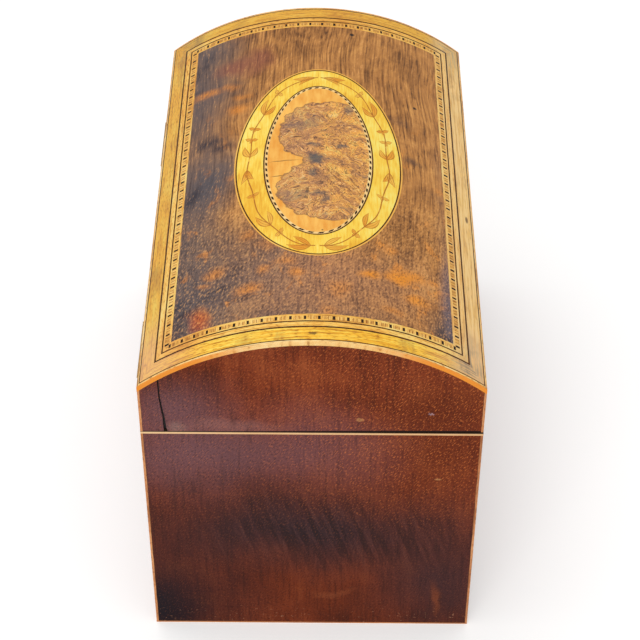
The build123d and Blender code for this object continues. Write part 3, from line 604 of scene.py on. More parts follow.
ebony = plain("ebony_line", tint(58, 28, 6), tint(98, 54, 14), 0.36, Specular_IOR_Level=0.12)
ebony_square = plain("ebony_block", tint(30, 16, 6), tint(66, 40, 18), 0.34, Specular_IOR_Level=0.12)
dyed_line = plain("dyed_line", tint(132, 82, 34), tint(176, 118, 58), 0.38, Specular_IOR_Level=0.2)
bone = plain("turned_bone", tint(222, 208, 172), tint(240, 230, 204), 0.28, 400.0, Subsurface_Weight=0.1)
foil_metal = plain("tea_foil", tint(120, 120, 116), tint(160, 160, 155), 0.38, 160.0, Metallic=0.9)
brass = plain("old_brass", tint(150, 114, 52), tint(196, 156, 82), 0.30, 220.0, Metallic=1.0)
steel = plain("dark_steel", tint(88, 84, 80), tint(130, 126, 120), 0.40, 260.0, Metallic=1.0)
print("made", [m.name for m in (ebony, bone, foil_metal, brass, steel)])


# %% Carcass woods
def board(name, dark, light, scale, rough=0.5, shade_behind_veneer=False):
    """A planed board with its grain along X, or along the axis whose scale is small. shade_behind_veneer
    blackens the face under the near end's veneer as painted shade, seen through the crack and seam."""
    wood = Finish(name)
    rings = wood.noise(wood.stretch(scale), 1.0, 3.0, 0.55, 0.6)
    fine = wood.noise(wood.stretch(tuple(8 * s for s in scale)), 1.0, 2.0, 0.6)
    colour = wood.ramp(rings * 0.7 + fine * 0.3, (0.36, dark), (0.64, light))
    if shade_behind_veneer:
        # Painted shade: the face behind the near end's veneer is made nearly black
        under = wood.step(wood.axis(wood.place, "X"), -0.09390, -0.09402)
        colour = wood.mix(under, colour, tint(16, 9, 7))
    return wood.shine(colour, rough + fine * 0.1, fine, 0.04 * mm, Specular_IOR_Level=0.3)


carcass_wood = board("carcass_mahogany", tint(92, 50, 30), tint(146, 88, 54), (12, 170, 170))
pine = board("carcass_pine", tint(168, 126, 76), tint(206, 168, 112), (10, 150, 150), shade_behind_veneer=True)
lid_end_board = board(
    "carcass_mahogany_lid_end", tint(96, 52, 31), tint(138, 82, 50), (150, 14, 150), shade_behind_veneer=True,
)
lid_wood = board("inner_lid_mahogany", tint(104, 54, 30), tint(150, 86, 48), (12, 150, 150), 0.34)
print("made", carcass_wood.name, pine.name, lid_wood.name)

# %% [markdown]
# ## Meshes from grids
# Every new piece is one or more closed shells. A shell starts as a grid of points worked out with
# numpy. `Shells` collects them, turns each one so that its faces point outwards, which it knows
# from the sign of the volume that they enclose, and hands the whole to Blender as one mesh.


# %% Grids and shells
def grid_faces(rows, columns, around=False):
    """The quads between the rows and columns of a grid, and past the last column if it goes around."""
    i, j = np.meshgrid(np.arange(rows - 1), np.arange(columns if around else columns - 1), indexing="ij")
    following = (j + 1) % columns
    corners = [i * columns + j, i * columns + following, (i + 1) * columns + following, (i + 1) * columns + j]
    return np.stack(corners, -1).reshape(-1, 4)


crease = np.radians(35.0)  # an edge that turns more than this stays sharp


class Shells:
    """Closed shells on their way to one Blender object."""

    def __init__(self, name):
        self.name, self.count = name, 0
        self.points, self.flow, self.faces = [], [], []

    def add(self, points, faces, flow=None):
        """Adds a closed shell: its points, its faces as arrays of corner numbers, and its Flow map."""
        points = np.asarray(points, float).reshape(-1, 3)
        middle = points.mean(0)
        volume = 0.0
        for part in faces:
            corners = points[part] - middle
            for k in range(1, part.shape[1] - 1):
                volume += np.einsum("ij,ij->", corners[:, 0], np.cross(corners[:, k], corners[:, k + 1]))
        self.points.append(points)
        flow = np.zeros((len(points), 2)) if flow is None else np.asarray(flow, float)
        self.flow.append(flow.reshape(-1, 2))
        for part in faces:
            outward = part[:, ::-1] if volume < 0 else part
            self.faces.extend((outward + self.count).tolist())
        self.count += len(points)

    def slab(self, upper, under, flow=None, around=False):
        """Adds the shell between two grids of the same shape, with walls along their edges."""
        rows, columns = upper.shape[:2]
        sheet = grid_faces(rows, columns, around)
        count = rows * columns
        if around:
            first, last = np.arange(columns), (rows - 1) * columns + np.arange(columns)
            walls = [(np.roll(first, -1), first), (last, np.roll(last, -1))]
        else:
            index = np.arange(count).reshape(rows, columns)
            edge = np.concatenate([index[0], index[1:, -1], index[-1, -2::-1], index[-2:0:-1, 0]])
            walls = [(np.roll(edge, -1), edge)]
        sides = [np.stack([a, b, b + count, a + count], -1) for a, b in walls]
        points = np.concatenate([upper.reshape(-1, 3), under.reshape(-1, 3)])
        both = None if flow is None else np.concatenate([flow.reshape(-1, 2)] * 2)
        self.add(points, [sheet, sheet[:, ::-1] + count, *sides], both)

    def tube(self, rings, flow=None):
        """Adds the shell of a rod: rings of points one after another, with a flat face at both ends."""
        rows, columns = rings.shape[:2]
        ends = [np.arange(columns)[None, ::-1], (rows - 1) * columns + np.arange(columns)[None]]
        self.add(rings, [grid_faces(rows, columns, True), *ends], flow)

    def place(self, material, body, slot, *replaced):
        """Makes the object, gives it its material, parents it to the empty of the body that it rides on, and
        hides the parts it replaces.
        """
        mesh = bpy.data.meshes.new(self.name)
        mesh.from_pydata(np.concatenate(self.points).tolist(), [], self.faces)
        corner = np.zeros(len(mesh.loops), np.int32)
        mesh.loops.foreach_get("vertex_index", corner)
        mesh.uv_layers.new(name="Flow").data.foreach_set("uv", np.concatenate(self.flow)[corner].ravel())
        mesh.polygons.foreach_set("use_smooth", np.ones(len(mesh.polygons), bool))
        mesh.set_sharp_from_angle(angle=crease)
        mesh.materials.append(material)
        piece = bpy.data.objects.new(self.name, mesh)
        bpy.context.scene.collection.objects.link(piece)
        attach(piece, body)
        if replaced:
            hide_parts(*replaced)
        print(f"{self.name}: {len(mesh.polygons)} faces")


print("shells are ready")

# %% [markdown]
# ## Bands that run round the dome
# On the real lid the maker glued strips of veneer round the edge and mitred them at the corners. A
# band is known by its section: for each corner of the section, how far in it lies from the arris
# and how deep it is sunk. Each of the four lengths carries that section along one side.


# %% The four mitred lengths of a band
def plan_y(inset):
    """How far from the middle, in plan, a line lies that runs inset from the arris along the curve."""
    return dome_radius * np.sin((arch_half - inset) / dome_radius)


def dome_z(y, sink=0.0):
    """Height of the dome, or of a surface sunk below it, at a distance from its crown line."""
    return dome_axis + np.sqrt((dome_radius - sink) ** 2 - y**2)


def mitred_frame(shells, inset, sink, stations=72):
    """Four lengths round the dome. A corner of the section at inset d and sink s goes along the long
    sides on the line y = plan_y(d), x from -(L - d) to L - d, and over the ends on the arc of radius
    R - s, from the plane y = -plan_y(d) to y = plan_y(d), so all the lengths meet on the mitres."""
    inset, sink = np.asarray(inset, float), np.asarray(sink, float)
    share = np.linspace(-1, 1, stations)[:, None]
    for side in (-1, 1):
        x = share * (half_length - inset)
        y = side * plan_y(inset) + 0 * x
        shells.tube(np.stack([x, y, dome_z(y, sink)], -1), np.stack([x + side, inset + 0 * x], -1))
        radius = dome_radius - sink
        turn = share * np.arcsin(plan_y(inset) / radius)
        x = side * (half_length - inset) + 0 * turn
        points = np.stack([x, radius * np.sin(turn), dome_axis + radius * np.cos(turn)], -1)
        shells.tube(points, np.stack([turn * dome_radius + 2 * side, inset + 0 * turn], -1))


def let_in(shells, start, width, sink=0.0):
    """Four lengths of veneer from start to start + width, from sink down to the veneer's depth."""
    mitred_frame(shells, [start, start + width, start + width, start], [sink, sink, veneer, veneer])


def flat_band(name, start, width, material, slot, *replaced):
    """A flush band of veneer as a piece of its own."""
    shells = Shells(name)
    let_in(shells, start, width)
    shells.place(material, "caddy_lid", slot, *replaced)


# %% [markdown]
# The widths below run from the arris inward. The outermost string is thick: it covers the edge of
# the boards, and its arris is rounded by wear.

# %% Arris strings, bands and lines
arris_depth, arris_round = 1.6 * mm, 0.20 * mm
bend = np.linspace(0, np.pi / 2, 5)
arris_inset = [veneer, *(arris_round * (1 - np.sin(bend[::-1]))), 0.0, veneer]
arris_sink = [0.0, *(arris_round * (1 - np.cos(bend[::-1]))), arris_depth, arris_depth]
arris = Shells("arris_strings_inlay")
mitred_frame(arris, arris_inset, arris_sink)
arris.place(arris_wood, "caddy_lid", "boxwood_orange", "arris_strings")

outer_line, crossband, second_line = 0.42 * mm, 5.5 * mm, 0.68 * mm
frame_width, third_line, block_width, inner_line = 1.95 * mm, 0.55 * mm, 2.6 * mm, 0.5 * mm
start = veneer
lines = Shells("frame_lines")
let_in(lines, start, outer_line)
start += outer_line
flat_band("crossband_inlay", start, crossband, satinwood, "satinwood", "crossband")
start += crossband
let_in(lines, start, second_line)
start += second_line
flat_band("frame_band_inlay", start, frame_width, boxwood, "boxwood", "frame_band")
start += frame_width
let_in(lines, start, third_line)
block_start = start + third_line
lines.place(ebony, "caddy_lid", "ebony")
field_start = block_start + block_width
flat_band("field_line", field_start, inner_line, boxwood, "boxwood")
field_inset = field_start + inner_line
print(f"the block band starts {block_start / mm:.2f} mm in, the field {field_inset / mm:.2f} mm in")

# %% [markdown]
# ## The block band
# The chequered band was sawn from a glued stack of woods: an ebony square between two thin box
# strips, then a golden block with fine lines in it, and so on round the frame. Here each kind of
# block is one array of little closed boxes on the dome.


# %% Blocks along the band
core_start, core_width = block_start + 0.62 * mm, 1.6 * mm


def block_boxes(shells, along, widths):
    """Closed boxes of the band. along holds the middles of the blocks, counted from the middle of
    each side, and widths their lengths. On the long sides a box spans x, on the ends it spans an
    angle about the dome's axis; across the band it spans the width of the chequered core."""
    corner_x = np.array([-1, 1, 1, -1, -1, 1, 1, -1])
    corner_w = np.array([0, 0, 1, 1, 0, 0, 1, 1])
    depth = np.where(np.arange(8) < 4, 0.0, 0.6 * mm)
    faces = np.array([[0, 1, 2, 3], [7, 6, 5, 4], [0, 4, 5, 1], [1, 5, 6, 2], [2, 6, 7, 3], [3, 7, 4, 0]])
    inset = core_start + corner_w * core_width
    for side in (-1, 1):
        for middle, width in zip(along["long"], widths["long"]):
            x = middle + corner_x * width / 2
            y = side * plan_y(inset)
            points = np.stack([x, y, dome_z(y, depth)], -1)
            shells.add(points, [faces], np.stack([corner_w * core_width + middle * 9, x], -1))
        for middle, width in zip(along["arch"], widths["arch"]):
            turn = (middle + corner_x * width / 2) / dome_radius
            x = side * (half_length - inset)
            radius = dome_radius - depth
            points = np.stack([x, radius * np.sin(turn), dome_axis + radius * np.cos(turn)], -1)
            flow = np.stack([corner_w * core_width + middle * 9, turn * dome_radius], -1)
            shells.add(points, [faces], flow)


square_width = 0.9 * mm
reach_of = {"long": half_length - core_start - core_width, "arch": arch_half - core_start - core_width}
count_of = {"long": 36, "arch": 22}
squares, strips = Shells("ebony_squares"), Shells("box_strips")
golds, hairs = Shells("gold_blocks"), Shells("fine_lines")
# The pattern is drawn in millimetres, with this much from one square to the next
drawn_repeat = 4.6
pattern = (
    (squares, 0.0, 0.90), (strips, 0.68, 0.42), (strips, -0.68, 0.42), (golds, 1.25, 0.72),
    (golds, 2.3, 0.92), (golds, -1.25, 0.72), (hairs, 1.72, 0.20), (hairs, -1.72, 0.20),
)
draw = np.random.default_rng(11)
for shells, offset, size in pattern:
    along, widths = {}, {}
    for run, count in count_of.items():
        pitch = (2 * reach_of[run] - square_width) / (count - 1)
        stretch = pitch / drawn_repeat
        middles = square_width / 2 - reach_of[run] + pitch * np.arange(count) + offset * stretch
        inside = np.abs(middles) < reach_of[run]
        along[run] = middles[inside] + draw.normal(0, 0.03 * mm, inside.sum())
        widths[run] = size * stretch * draw.uniform(0.84, 1.0, inside.sum())
    block_boxes(shells, along, widths)
ground = Shells("block_ground")
let_in(ground, block_start, block_width, sink=0.02 * mm)
ground.place(boxwood, "caddy_lid", "boxwood")
squares.place(ebony_square, "caddy_lid", "ebony", "block_band_dark")
strips.place(boxwood, "caddy_lid", "boxwood")
golds.place(block_gold, "caddy_lid", "satinwood", "block_band_light")
hairs.place(dyed_line, "caddy_lid", "ebony")

# %% [markdown]
# ## The field
# The field fills the frame and has the oval cut out of it. Its grid runs from the oval to the
# frame: a ray leaves the middle of the oval for each point of the frame, and the rows share out
# the way between the two. The four corners fall exactly on grid lines.

# %% The field round the oval
oval_half_length, oval_half_width, oval_shift = 53.3 * mm, 30.1 * mm, 1.4 * mm


def oval_points(angle, inset):
    """Plan of the oval at an inset: x = a cos t and y = b sin t about the oval's middle, where b is
    the half width taken along the curve and seen in plan."""
    a = oval_half_length - inset
    b = dome_radius * np.sin((oval_half_width - inset) / dome_radius)
    return a * np.cos(angle), b * np.sin(angle) - oval_shift


def on_dome(x, y, sink=0.0):
    """Points on the dome, or sunk below it, over a plan. The sunk ones lie straight beneath."""
    return np.stack([x + 0 * y, y + 0 * x, dome_z(y, sink) + 0 * x], -1)


per_side, rows = 64, 26
edge_x, edge_y = half_length - field_start - inner_line, plan_y(field_inset)
run = np.linspace(-1, 1, per_side, endpoint=False)
flat = np.ones(per_side)
square_x = edge_x * np.concatenate([flat, -run, -flat, run])
square_y = edge_y * np.concatenate([run, flat, -run, -flat])
b_outer = dome_radius * np.sin(oval_half_width / dome_radius)
angle = np.arctan2((square_y + oval_shift) / b_outer, square_x / oval_half_length)
inner_x, inner_y = oval_points(angle, 0.0)
share = np.linspace(0, 1, rows)[:, None]
field_x = (1 - share) * inner_x + share * square_x
field_y = (1 - share) * inner_y + share * square_y
field = Shells("field_inlay")
field.slab(on_dome(field_x, field_y), on_dome(field_x, field_y, veneer), around=True)
field.place(top_wood, "caddy_lid", "mahogany_field", "field")

# %% [markdown]
# ## The oval
# Outside in: a pale string, a dark line, a broad band of yellow satinwood with an engraved garland,
# another dark line, a rope of slanted ebony and box, and an oval of burr. Each is the ring between
# two insets of the same oval.


# %% Rings of the oval
def oval_ring(shells, start, width, sink=0.0, around=256, across=6):
    """The shell between two insets of the oval, let in to the depth of the veneer."""
    angle = np.linspace(0, 2 * np.pi, around, endpoint=False)[None]
    inset = start + np.linspace(0, width, across)[:, None]
    x, y = oval_points(angle, inset)
    shells.slab(on_dome(x, y, sink), on_dome(x, y, veneer), around=True)


oval_string, oval_line, oval_band, rope_width = 0.5 * mm, 0.50 * mm, 9.65 * mm, 1.10 * mm
engraving_sink = 0.03 * mm
string_ring = Shells("oval_string_inlay")
oval_ring(string_ring, 0.0, oval_string, across=2)
string_ring.place(boxwood, "caddy_lid", "boxwood")
line_rings = Shells("oval_lines")
oval_ring(line_rings, oval_string, oval_line, across=2)
band_start = oval_string + oval_line
oval_ring(line_rings, band_start + oval_band, oval_line, across=2)
line_rings.place(ebony, "caddy_lid", "ebony")
ring_starts = oval_string, band_start, band_start + oval_band
print("rings of the oval start at", [round(v / mm, 2) for v in ring_starts])

# %% [markdown]
# The yellow band's grain runs along the lid, so it reads plain object coordinates. The garland is
# let into it as thin leaves, stems and flowers.


# %% Yellow band of the oval
def ring_wood():
    """Yellow satinwood: fine grain along the lid and faint clouds."""
    wood = Finish("oval_band_satinwood")
    clouds = wood.noise(wood.place, 55.0, 3.0, 0.55)
    grain = wood.noise(wood.stretch((160, 1500, 1500)), 1.0, 3.0, 0.55)
    colour = wood.ramp(
        clouds * 0.6 + grain * 0.4,
        (0.38, tint(242, 182, 48)), (0.50, tint(255, 212, 76)), (0.62, tint(255, 234, 118)),
    )
    colour = wood.mix(wood.step(grain, 0.42, 0.28) * 0.30, colour, tint(196, 128, 32))
    return wood.shine(colour, 0.36 + grain * 0.08, grain, 0.03 * mm, Specular_IOR_Level=0.25)


yellow_band = Shells("oval_band_inlay")
oval_ring(yellow_band, band_start, oval_band, sink=engraving_sink, across=10)
yellow_band.place(ring_wood(), "caddy_lid", "satinwood", "oval_band")

# %% [markdown]
# ## The garland
# The engraver cut leaves, stems and three-lobed flowers out of a slightly darker veneer, shaded
# them with hot sand and drew their outlines with a graver. A leaf is laid out on the band as if the
# band were straight: p runs along its middle line from the near end, v across it, in millimetres.


# %% Leaves and stems on the band
middle_inset = band_start + oval_band / 2
half_turn = np.linspace(0, np.pi, 1500)
start_x, start_y = oval_points(np.pi - half_turn, middle_inset)
half_run = np.concatenate([[0], np.cumsum(np.hypot(np.diff(start_x), np.diff(start_y)))]) / mm


def on_band(side, p, v, sink):
    """A point p along and v across the band, both in millimetres. side is 1 for +Y, -1 for -Y."""
    angle = np.pi - side * np.interp(p, half_run, half_turn)
    return on_dome(*oval_points(angle, middle_inset - v * mm), sink)


def leaf(shells, side, p0, v0, p1, v1, width):
    """An almond from (p0, v0) to (p1, v1). At share s of its length its half width is
    width / 2 * sin(pi * s ** 0.85), and never less than a hair, so both tips stay closed."""
    s = np.linspace(0, 1, 12)[:, None]
    c = np.linspace(-1, 1, 5)[None]
    length = np.hypot(p1 - p0, v1 - v0)
    half = np.maximum(width / 2 * np.sin(np.pi * s**0.85), 0.05)
    bow = 0.10 * length * np.sin(np.pi * s) * np.sign(v1 - v0 + 0.01)
    p = p0 + (p1 - p0) * s - (c * half + bow) * (v1 - v0) / length
    v = v0 + (v1 - v0) * s + (c * half + bow) * (p1 - p0) / length
    flow = np.stack([s + 0 * c, c + 0 * s], -1)
    shells.slab(on_band(side, p, v, 0.008 * mm), on_band(side, p, v, 0.3 * mm), flow)


def stem(shells, side, points, width=0.42):
    """A ribbon of even width through the given points, rounded by a moving average."""
    points = np.asarray(points)
    s = np.linspace(0, len(points) - 1, 12 * len(points))
    path = np.stack([np.interp(s, np.arange(len(points)), points[:, k]) for k in (0, 1)], -1)
    soft = np.ones(9) / 9
    path = np.stack([np.convolve(np.pad(path[:, k], 4, "edge"), soft, "valid") for k in (0, 1)], -1)
    ahead = np.gradient(path, axis=0)
    ahead /= np.maximum(np.hypot(*ahead.T), 1e-6)[:, None]
    c = np.array([[-1.0, 1.0]])
    p = path[:, :1] - c * width / 2 * ahead[:, 1:]
    v = path[:, 1:] + c * width / 2 * ahead[:, :1]
    flow = np.stack([0.3 + 0 * p, 0.85 + 0 * p], -1)
    shells.slab(on_band(side, p, v, 0.004 * mm), on_band(side, p, v, 0.3 * mm), flow)


# Places along the band in whole millimetres, close to those of one half of the real garland. The
# real halves differ, and here both share one layout. A pair of leaves springs from the stem and
# reaches along it, backward where the reach is negative. Flowers stand between the pairs
leaf_pairs = ((2, 8), (20, 8), (54, -7), (61, 6), (85, 8), (114, -8))
flowers = (15, 39, 71, 77, 98)
garland_length = 115


def stem_v(p):
    """The stem's wave across the band: 0.6 + 0.5 sin(2 pi p / 23), in millimetres."""
    return 0.6 + 0.5 * np.sin(2 * np.pi * p / 23)


garland = Shells("oval_garland")
for side in (1, -1):
    for p, reach in leaf_pairs:
        v = stem_v(p)
        leaf(garland, side, p, v, p + reach, v + 2.6, 2.4)
        leaf(garland, side, p, v, p + 0.9 * reach, v - 2.2, 2.2)
    for p in flowers:
        v = stem_v(p)
        for ahead, out, width in ((0.3, 2.6, 1.7), (0.3, -2.5, 1.7), (-2.2, 0.4, 1.2)):
            leaf(garland, side, p, v, p + ahead, v + out, width)
    run = np.linspace(0.5, garland_length, 60)
    stem(garland, side, np.stack([run, stem_v(run)], -1))

# %% Shading of the garland
leaf_wood = Finish("shaded_leaf")
across = leaf_wood.axis(leaf_wood.node("ShaderNodeUVMap", uv_map="Flow"), "Y").size()
along_leaf = leaf_wood.axis(leaf_wood.node("ShaderNodeUVMap", uv_map="Flow"), "X")
drift = leaf_wood.noise(leaf_wood.place, 420.0, 3.0, 0.6)
patchy = leaf_wood.noise(leaf_wood.place, 110.0, 2.0)
fill = leaf_wood.ramp(patchy, (0.40, tint(234, 156, 40)), (0.62, tint(248, 192, 74)))
drawn = leaf_wood.step(across, 0.55, 0.90).most(leaf_wood.step(across, 0.16, 0.04) * 0.7)
drawn = drawn.most(leaf_wood.step(along_leaf, 0.24, 0.05) * 0.7)
drawn = drawn * leaf_wood.step(drift, 0.25, 0.45)
leaf_colour = leaf_wood.mix(drawn * 0.85, fill, tint(166, 92, 14))
leaf_shade = leaf_wood.shine(leaf_colour, 0.38 + drift * 0.08, drawn, -0.02 * mm, Specular_IOR_Level=0.25)
garland.place(leaf_shade, "caddy_lid", "satinwood")

# %% Rope of slanted dashes
rope_start = band_start + oval_band + oval_line
rope_ground = Shells("rope_ground")
oval_ring(rope_ground, rope_start, rope_width, sink=0.02 * mm, across=2)
rope_ground.place(pale_box, "caddy_lid", "boxwood")

dashes, fill, slant = 64, 0.50, 0.20
fine = np.linspace(0, 2 * np.pi, 4001)
rope_x, rope_y = oval_points(fine, rope_start + rope_width / 2)
run = np.concatenate([[0], np.cumsum(np.hypot(np.diff(rope_x), np.diff(rope_y)))])
step_length = run[-1] / dashes
stretch_near = 0.16 * run[-1] / (2 * np.pi)
rope = Shells("rope_dashes")
for k in range(dashes):
    ends = (k + np.array([[0.0, fill / 2, fill], [slant, slant + fill / 2, slant + fill]])) * step_length
    ends = ends - stretch_near * np.sin(2 * np.pi * ends / run[-1])
    turn = np.interp(ends % run[-1], run, fine)
    turn = np.where(turn - turn[0, 0] < -np.pi, turn + 2 * np.pi, turn)
    inset = np.array([[0.22], [0.84]]) * rope_width + rope_start + 0 * turn
    x, y = oval_points(turn, inset)
    rope.slab(on_dome(x, y), on_dome(x, y, 0.5 * mm))
rope.place(ebony_square, "caddy_lid", "ebony")


# %% [markdown]
# ## The burr
# Burr wood grows round a cluster of buds, so its figure is a swirl with no direction. This veneer
# was cut where the burr meets plain wood: two lobes of grey-brown swirl lie in an orange ground,
# with a few blue-black stains and hair cracks. The thin dark rings of the figure are the contour
# lines of one noise, bent by another.


# %% Burr of the centre
burr_level = 137  # height in millimetres of the eggs that the burr's patches are cut from


def burr_wood():
    """Two lobes of swirl in plain wood: contour lines of warped noise, stains, and hair cracks."""
    wood = Finish("burr")
    ragged = wood.wander(260, 0.0054, 6.0)
    warped = wood.wander(75, 0.016, 3.0)
    lobes = strongest(wood.patch(ragged, *lobe, 0.06, burr_level) for lobe in (
        (15, -6, 18.8, 19.2), (-17.6, -6.2, 17.4, 19.6), (-2, -12, 14, 16.4), (-1, -17, 37, 13),
    ))
    swirl = wood.noise(wood.stretch((190, 120, 120), warped), 1.0, 4.0, 0.62, 1.2)
    curls = wood.noise(wood.stretch((820, 620, 620), warped), 1.0, 3.0, 0.65, 1.4)
    shade = wood.noise(wood.stretch((90, 60, 60), shift=(0.3, 0.1, 0)), 1.0, 3.0, 0.6, 0.8)
    ground = wood.noise(wood.stretch((120, 520, 520)), 1.0, 3.0, 0.5)
    plain_part = wood.ramp(ground * 0.7 + shade * 0.3, (0.36, tint(238, 158, 56)), (0.62, tint(255, 194, 92)))
    figured = wood.ramp(
        swirl * 0.34 + curls * 0.40 + shade * 0.26,
        (0.39, tint(140, 98, 68)), (0.46, tint(210, 146, 84)),
        (0.52, tint(252, 178, 80)), (0.59, tint(255, 210, 108)),
    )
    left = wood.step(wood.axis(ragged, "Y"), -0.010, 0.006)
    figured = wood.mix(left * 0.28, figured, tint(170, 124, 108))
    rays = wood.stretch((1, 1, 1), wood.wander(120, 0.002), turn=(0, 0, -0.63))
    rays = wood.noise(wood.stretch((110, 1000, 1000), rays), 1.0, 2.0, 0.6)
    fan_out = wood.patch(ragged, -13.5, -9.6, 12, 9, 0.9, burr_level)
    figured = wood.mix(fan_out * wood.step(rays, 0.48, 0.38) * 0.8, figured, tint(120, 72, 48))
    figured = wood.mix(fan_out * wood.step(rays, 0.52, 0.62) * 0.6, figured, tint(255, 196, 96))
    rings = ((swirl * 9.0).part() - 0.5).size()
    fine_rings = ((swirl * 21.0 + curls * 2.0).part() - 0.5).size()
    figured = wood.mix(wood.step(curls, 0.55, 0.66) * 0.55, figured, tint(255, 206, 150))
    figured = wood.mix(wood.step(rings, 0.14, 0.04) * 0.85, figured, tint(84, 60, 46))
    figured = wood.mix(wood.step(fine_rings, 0.17, 0.03) * 0.50, figured, tint(124, 80, 60))
    stains = wood.noise(wood.stretch((130, 60, 60), warped, shift=(0.05, 0.4, 0)), 1.0, 3.0, 0.6, 0.6)
    figured = wood.mix(wood.step(stains, 0.57, 0.70) * 0.45, figured, tint(104, 92, 90))
    edge = wood.step(lobes, 0.02, 0.30) * wood.step(lobes, 1.0, 0.60)
    colour = wood.mix(lobes, plain_part, figured)
    colour = wood.mix(edge * 0.60, colour, tint(112, 74, 56))
    stain = wood.patch(ragged, -0.5, -0.5, 4.5, 4.8, 0.7, burr_level, 20)
    for x, y, long, wide, much in (
        (7, -9.7, 1.5, 2.8, 0.8), (7.2, 0.5, 2.2, 3.4, 0.7), (29, -12.2, 4.2, 2.4, 0.7),
        (-8.6, 0.8, 2.8, 2.2, 0.8), (-19.8, -2.1, 1.8, 3.4, 0.6), (-23.6, -3.8, 3.4, 1.8, 0.6),
    ):
        stain = stain.most(wood.patch(ragged, x, y, long, wide, 0.7, burr_level, 20) * much)
    colour = wood.mix(stain * 0.80, colour, tint(72, 80, 86))
    shaky = wood.wander(300, 0.0010)
    cracks = strongest(wood.patch(vector, *crack, 0.7, burr_level, 20) for vector, *crack in (
        (shaky, -1.5, 10.5, 0.3, 7.2), (shaky, -9.8, 12.5, 0.3, 3.5), (shaky, 12.1, 6.2, 0.45, 3),
        (wood.place, -40, -3, 0.5, 0.5),
    ))
    colour = wood.mix(cracks * 0.85, colour, tint(72, 44, 28))
    return wood.shine(colour, 0.34 + curls * 0.1, curls, 0.03 * mm, Specular_IOR_Level=0.25)


centre_start = rope_start + rope_width
spokes, circles = 192, 22
angle = np.linspace(0, 2 * np.pi, spokes, endpoint=False)[None]
share = np.linspace(0.04, 1, circles)[:, None]
edge_xy = oval_points(angle, centre_start)
centre_x, centre_y = share * edge_xy[0], share * (edge_xy[1] + oval_shift) - oval_shift
count = centre_x.size
upper, under = on_dome(centre_x, centre_y), on_dome(centre_x, centre_y, veneer)
sheet = grid_faces(*centre_x.shape, True)
ring = np.arange(spokes)
poles = on_dome(np.array([0.0, 0.0]), np.array([-oval_shift] * 2), np.array([0.0, veneer]))
fan = np.stack([np.roll(ring, -1), ring, np.full(spokes, 2 * count)], -1)
under_fan = np.stack([ring, np.roll(ring, -1), np.full(spokes, 2 * count + 1) - count], -1) + count
outside = (circles - 1) * spokes + ring
wall = np.stack([outside, np.roll(outside, -1), np.roll(outside, -1) + count, outside + count], -1)
centre = Shells("burr_centre")
centre.add(
    np.concatenate([upper.reshape(-1, 3), under.reshape(-1, 3), poles]),
    [sheet, sheet[:, ::-1] + count, wall, fan, under_fan],
)
centre.place(burr_wood(), "caddy_lid", "burr", "oval_centre")

# %% [markdown]
# ## Sides
# The boards of the box keep their CAD solids: a flat veneered board is already right, and what it
# needs is figure and polish. The near end of the lid has an old shrinkage crack, so that veneer is
# rebuilt as two pieces with a ragged gap between them, through which the board shows, painted
# black as shade.


# %% Veneer of the near end, with its crack
def seam_z(y):
    """Height of the sloping seam under the lid at a distance from the middle."""
    return rim + seam_gap * (half_depth - y) / (2 * half_depth)


core_x, core_y = half_length - veneer, half_depth - veneer
crack_z = np.array([97.9, 99.6, 104.2, 108.4, 113.5, 117.0, 121.0]) * mm
crack_y = np.array([47.5, 47.8, 48.0, 48.5, 48.95, 49.0, 49.1]) * mm
crack_half = np.array([0.62, 0.50, 0.38, 0.31, 0.27, 0.24, 0.22]) * mm
up = np.linspace(0, 1, 60)[:, None]
height = rim + up * (crack_z[-1] - rim)
ragged = 0.05 * mm * (np.sin(height * 5200) + 0.6 * np.sin(height * 11700 + 1.0))
gap_middle = np.interp(height, crack_z, crack_y) + ragged
gap_half = np.interp(height, crack_z, crack_half)
cracked = Shells("lid_end_veneer")
for y_from, y_to in ((-core_y, gap_middle - gap_half), (gap_middle + gap_half, core_y)):
    along = np.linspace(0, 1, 40)[None]
    y = y_from + (y_to - y_from) * along
    z = seam_z(y) + up * (dome_z(y, arris_depth) - seam_z(y))
    x = -half_length + 0 * y
    cracked.slab(np.stack([x, y, z], -1), np.stack([x + veneer, y, z], -1), np.stack([z, y], -1))
cracked.place(near_wood, "caddy_lid", "mahogany_veneer", "lid_veneer_left")


# %% [markdown]
# ## Strings of the box
# Thin strings of box protect every edge. Each is a square rod with its outer corner rounded, a
# little uneven in width, because it was scraped by hand.


# %% Corner strings
def corner_rods(shells, low, high, wobble_seed):
    """Four upright rods. The section is a square with a quarter round at its outer corner, and its
    inner sides drift by up to about a tenth of a millimetre with height."""
    bend = np.linspace(0, np.pi / 2, 5)
    round_off = 0.38 * mm
    out_x = np.array([veneer, round_off, *(round_off * (1 - np.sin(bend[1:-1]))), 0.0, 0.0, veneer])
    out_y = np.array([0.0, 0.0, *(round_off * (1 - np.cos(bend[1:-1]))), round_off, veneer, veneer])
    draw = np.random.default_rng(wobble_seed)
    for side_x in (-1, 1):
        for side_y in (-1, 1):
            up = np.linspace(0, 1, 90)[:, None]
            waves = sum(
                draw.uniform(0.3, 1.0) * np.sin(2 * np.pi * (draw.uniform(1, 9) * up + draw.uniform(0, 1)))
                for _ in range(4)
            )
            drift = 0.045 * mm * waves
            x = side_x * (half_length - out_x + np.where(out_x >= veneer, drift, 0.0))
            y = side_y * (half_depth - out_y + np.where(out_y >= veneer, drift, 0.0))
            z = low(y) + up * (high(y) - low(y))
            shells.tube(np.stack([x, y, z], -1), np.stack([z + side_x, out_x + out_y + 0 * z], -1))


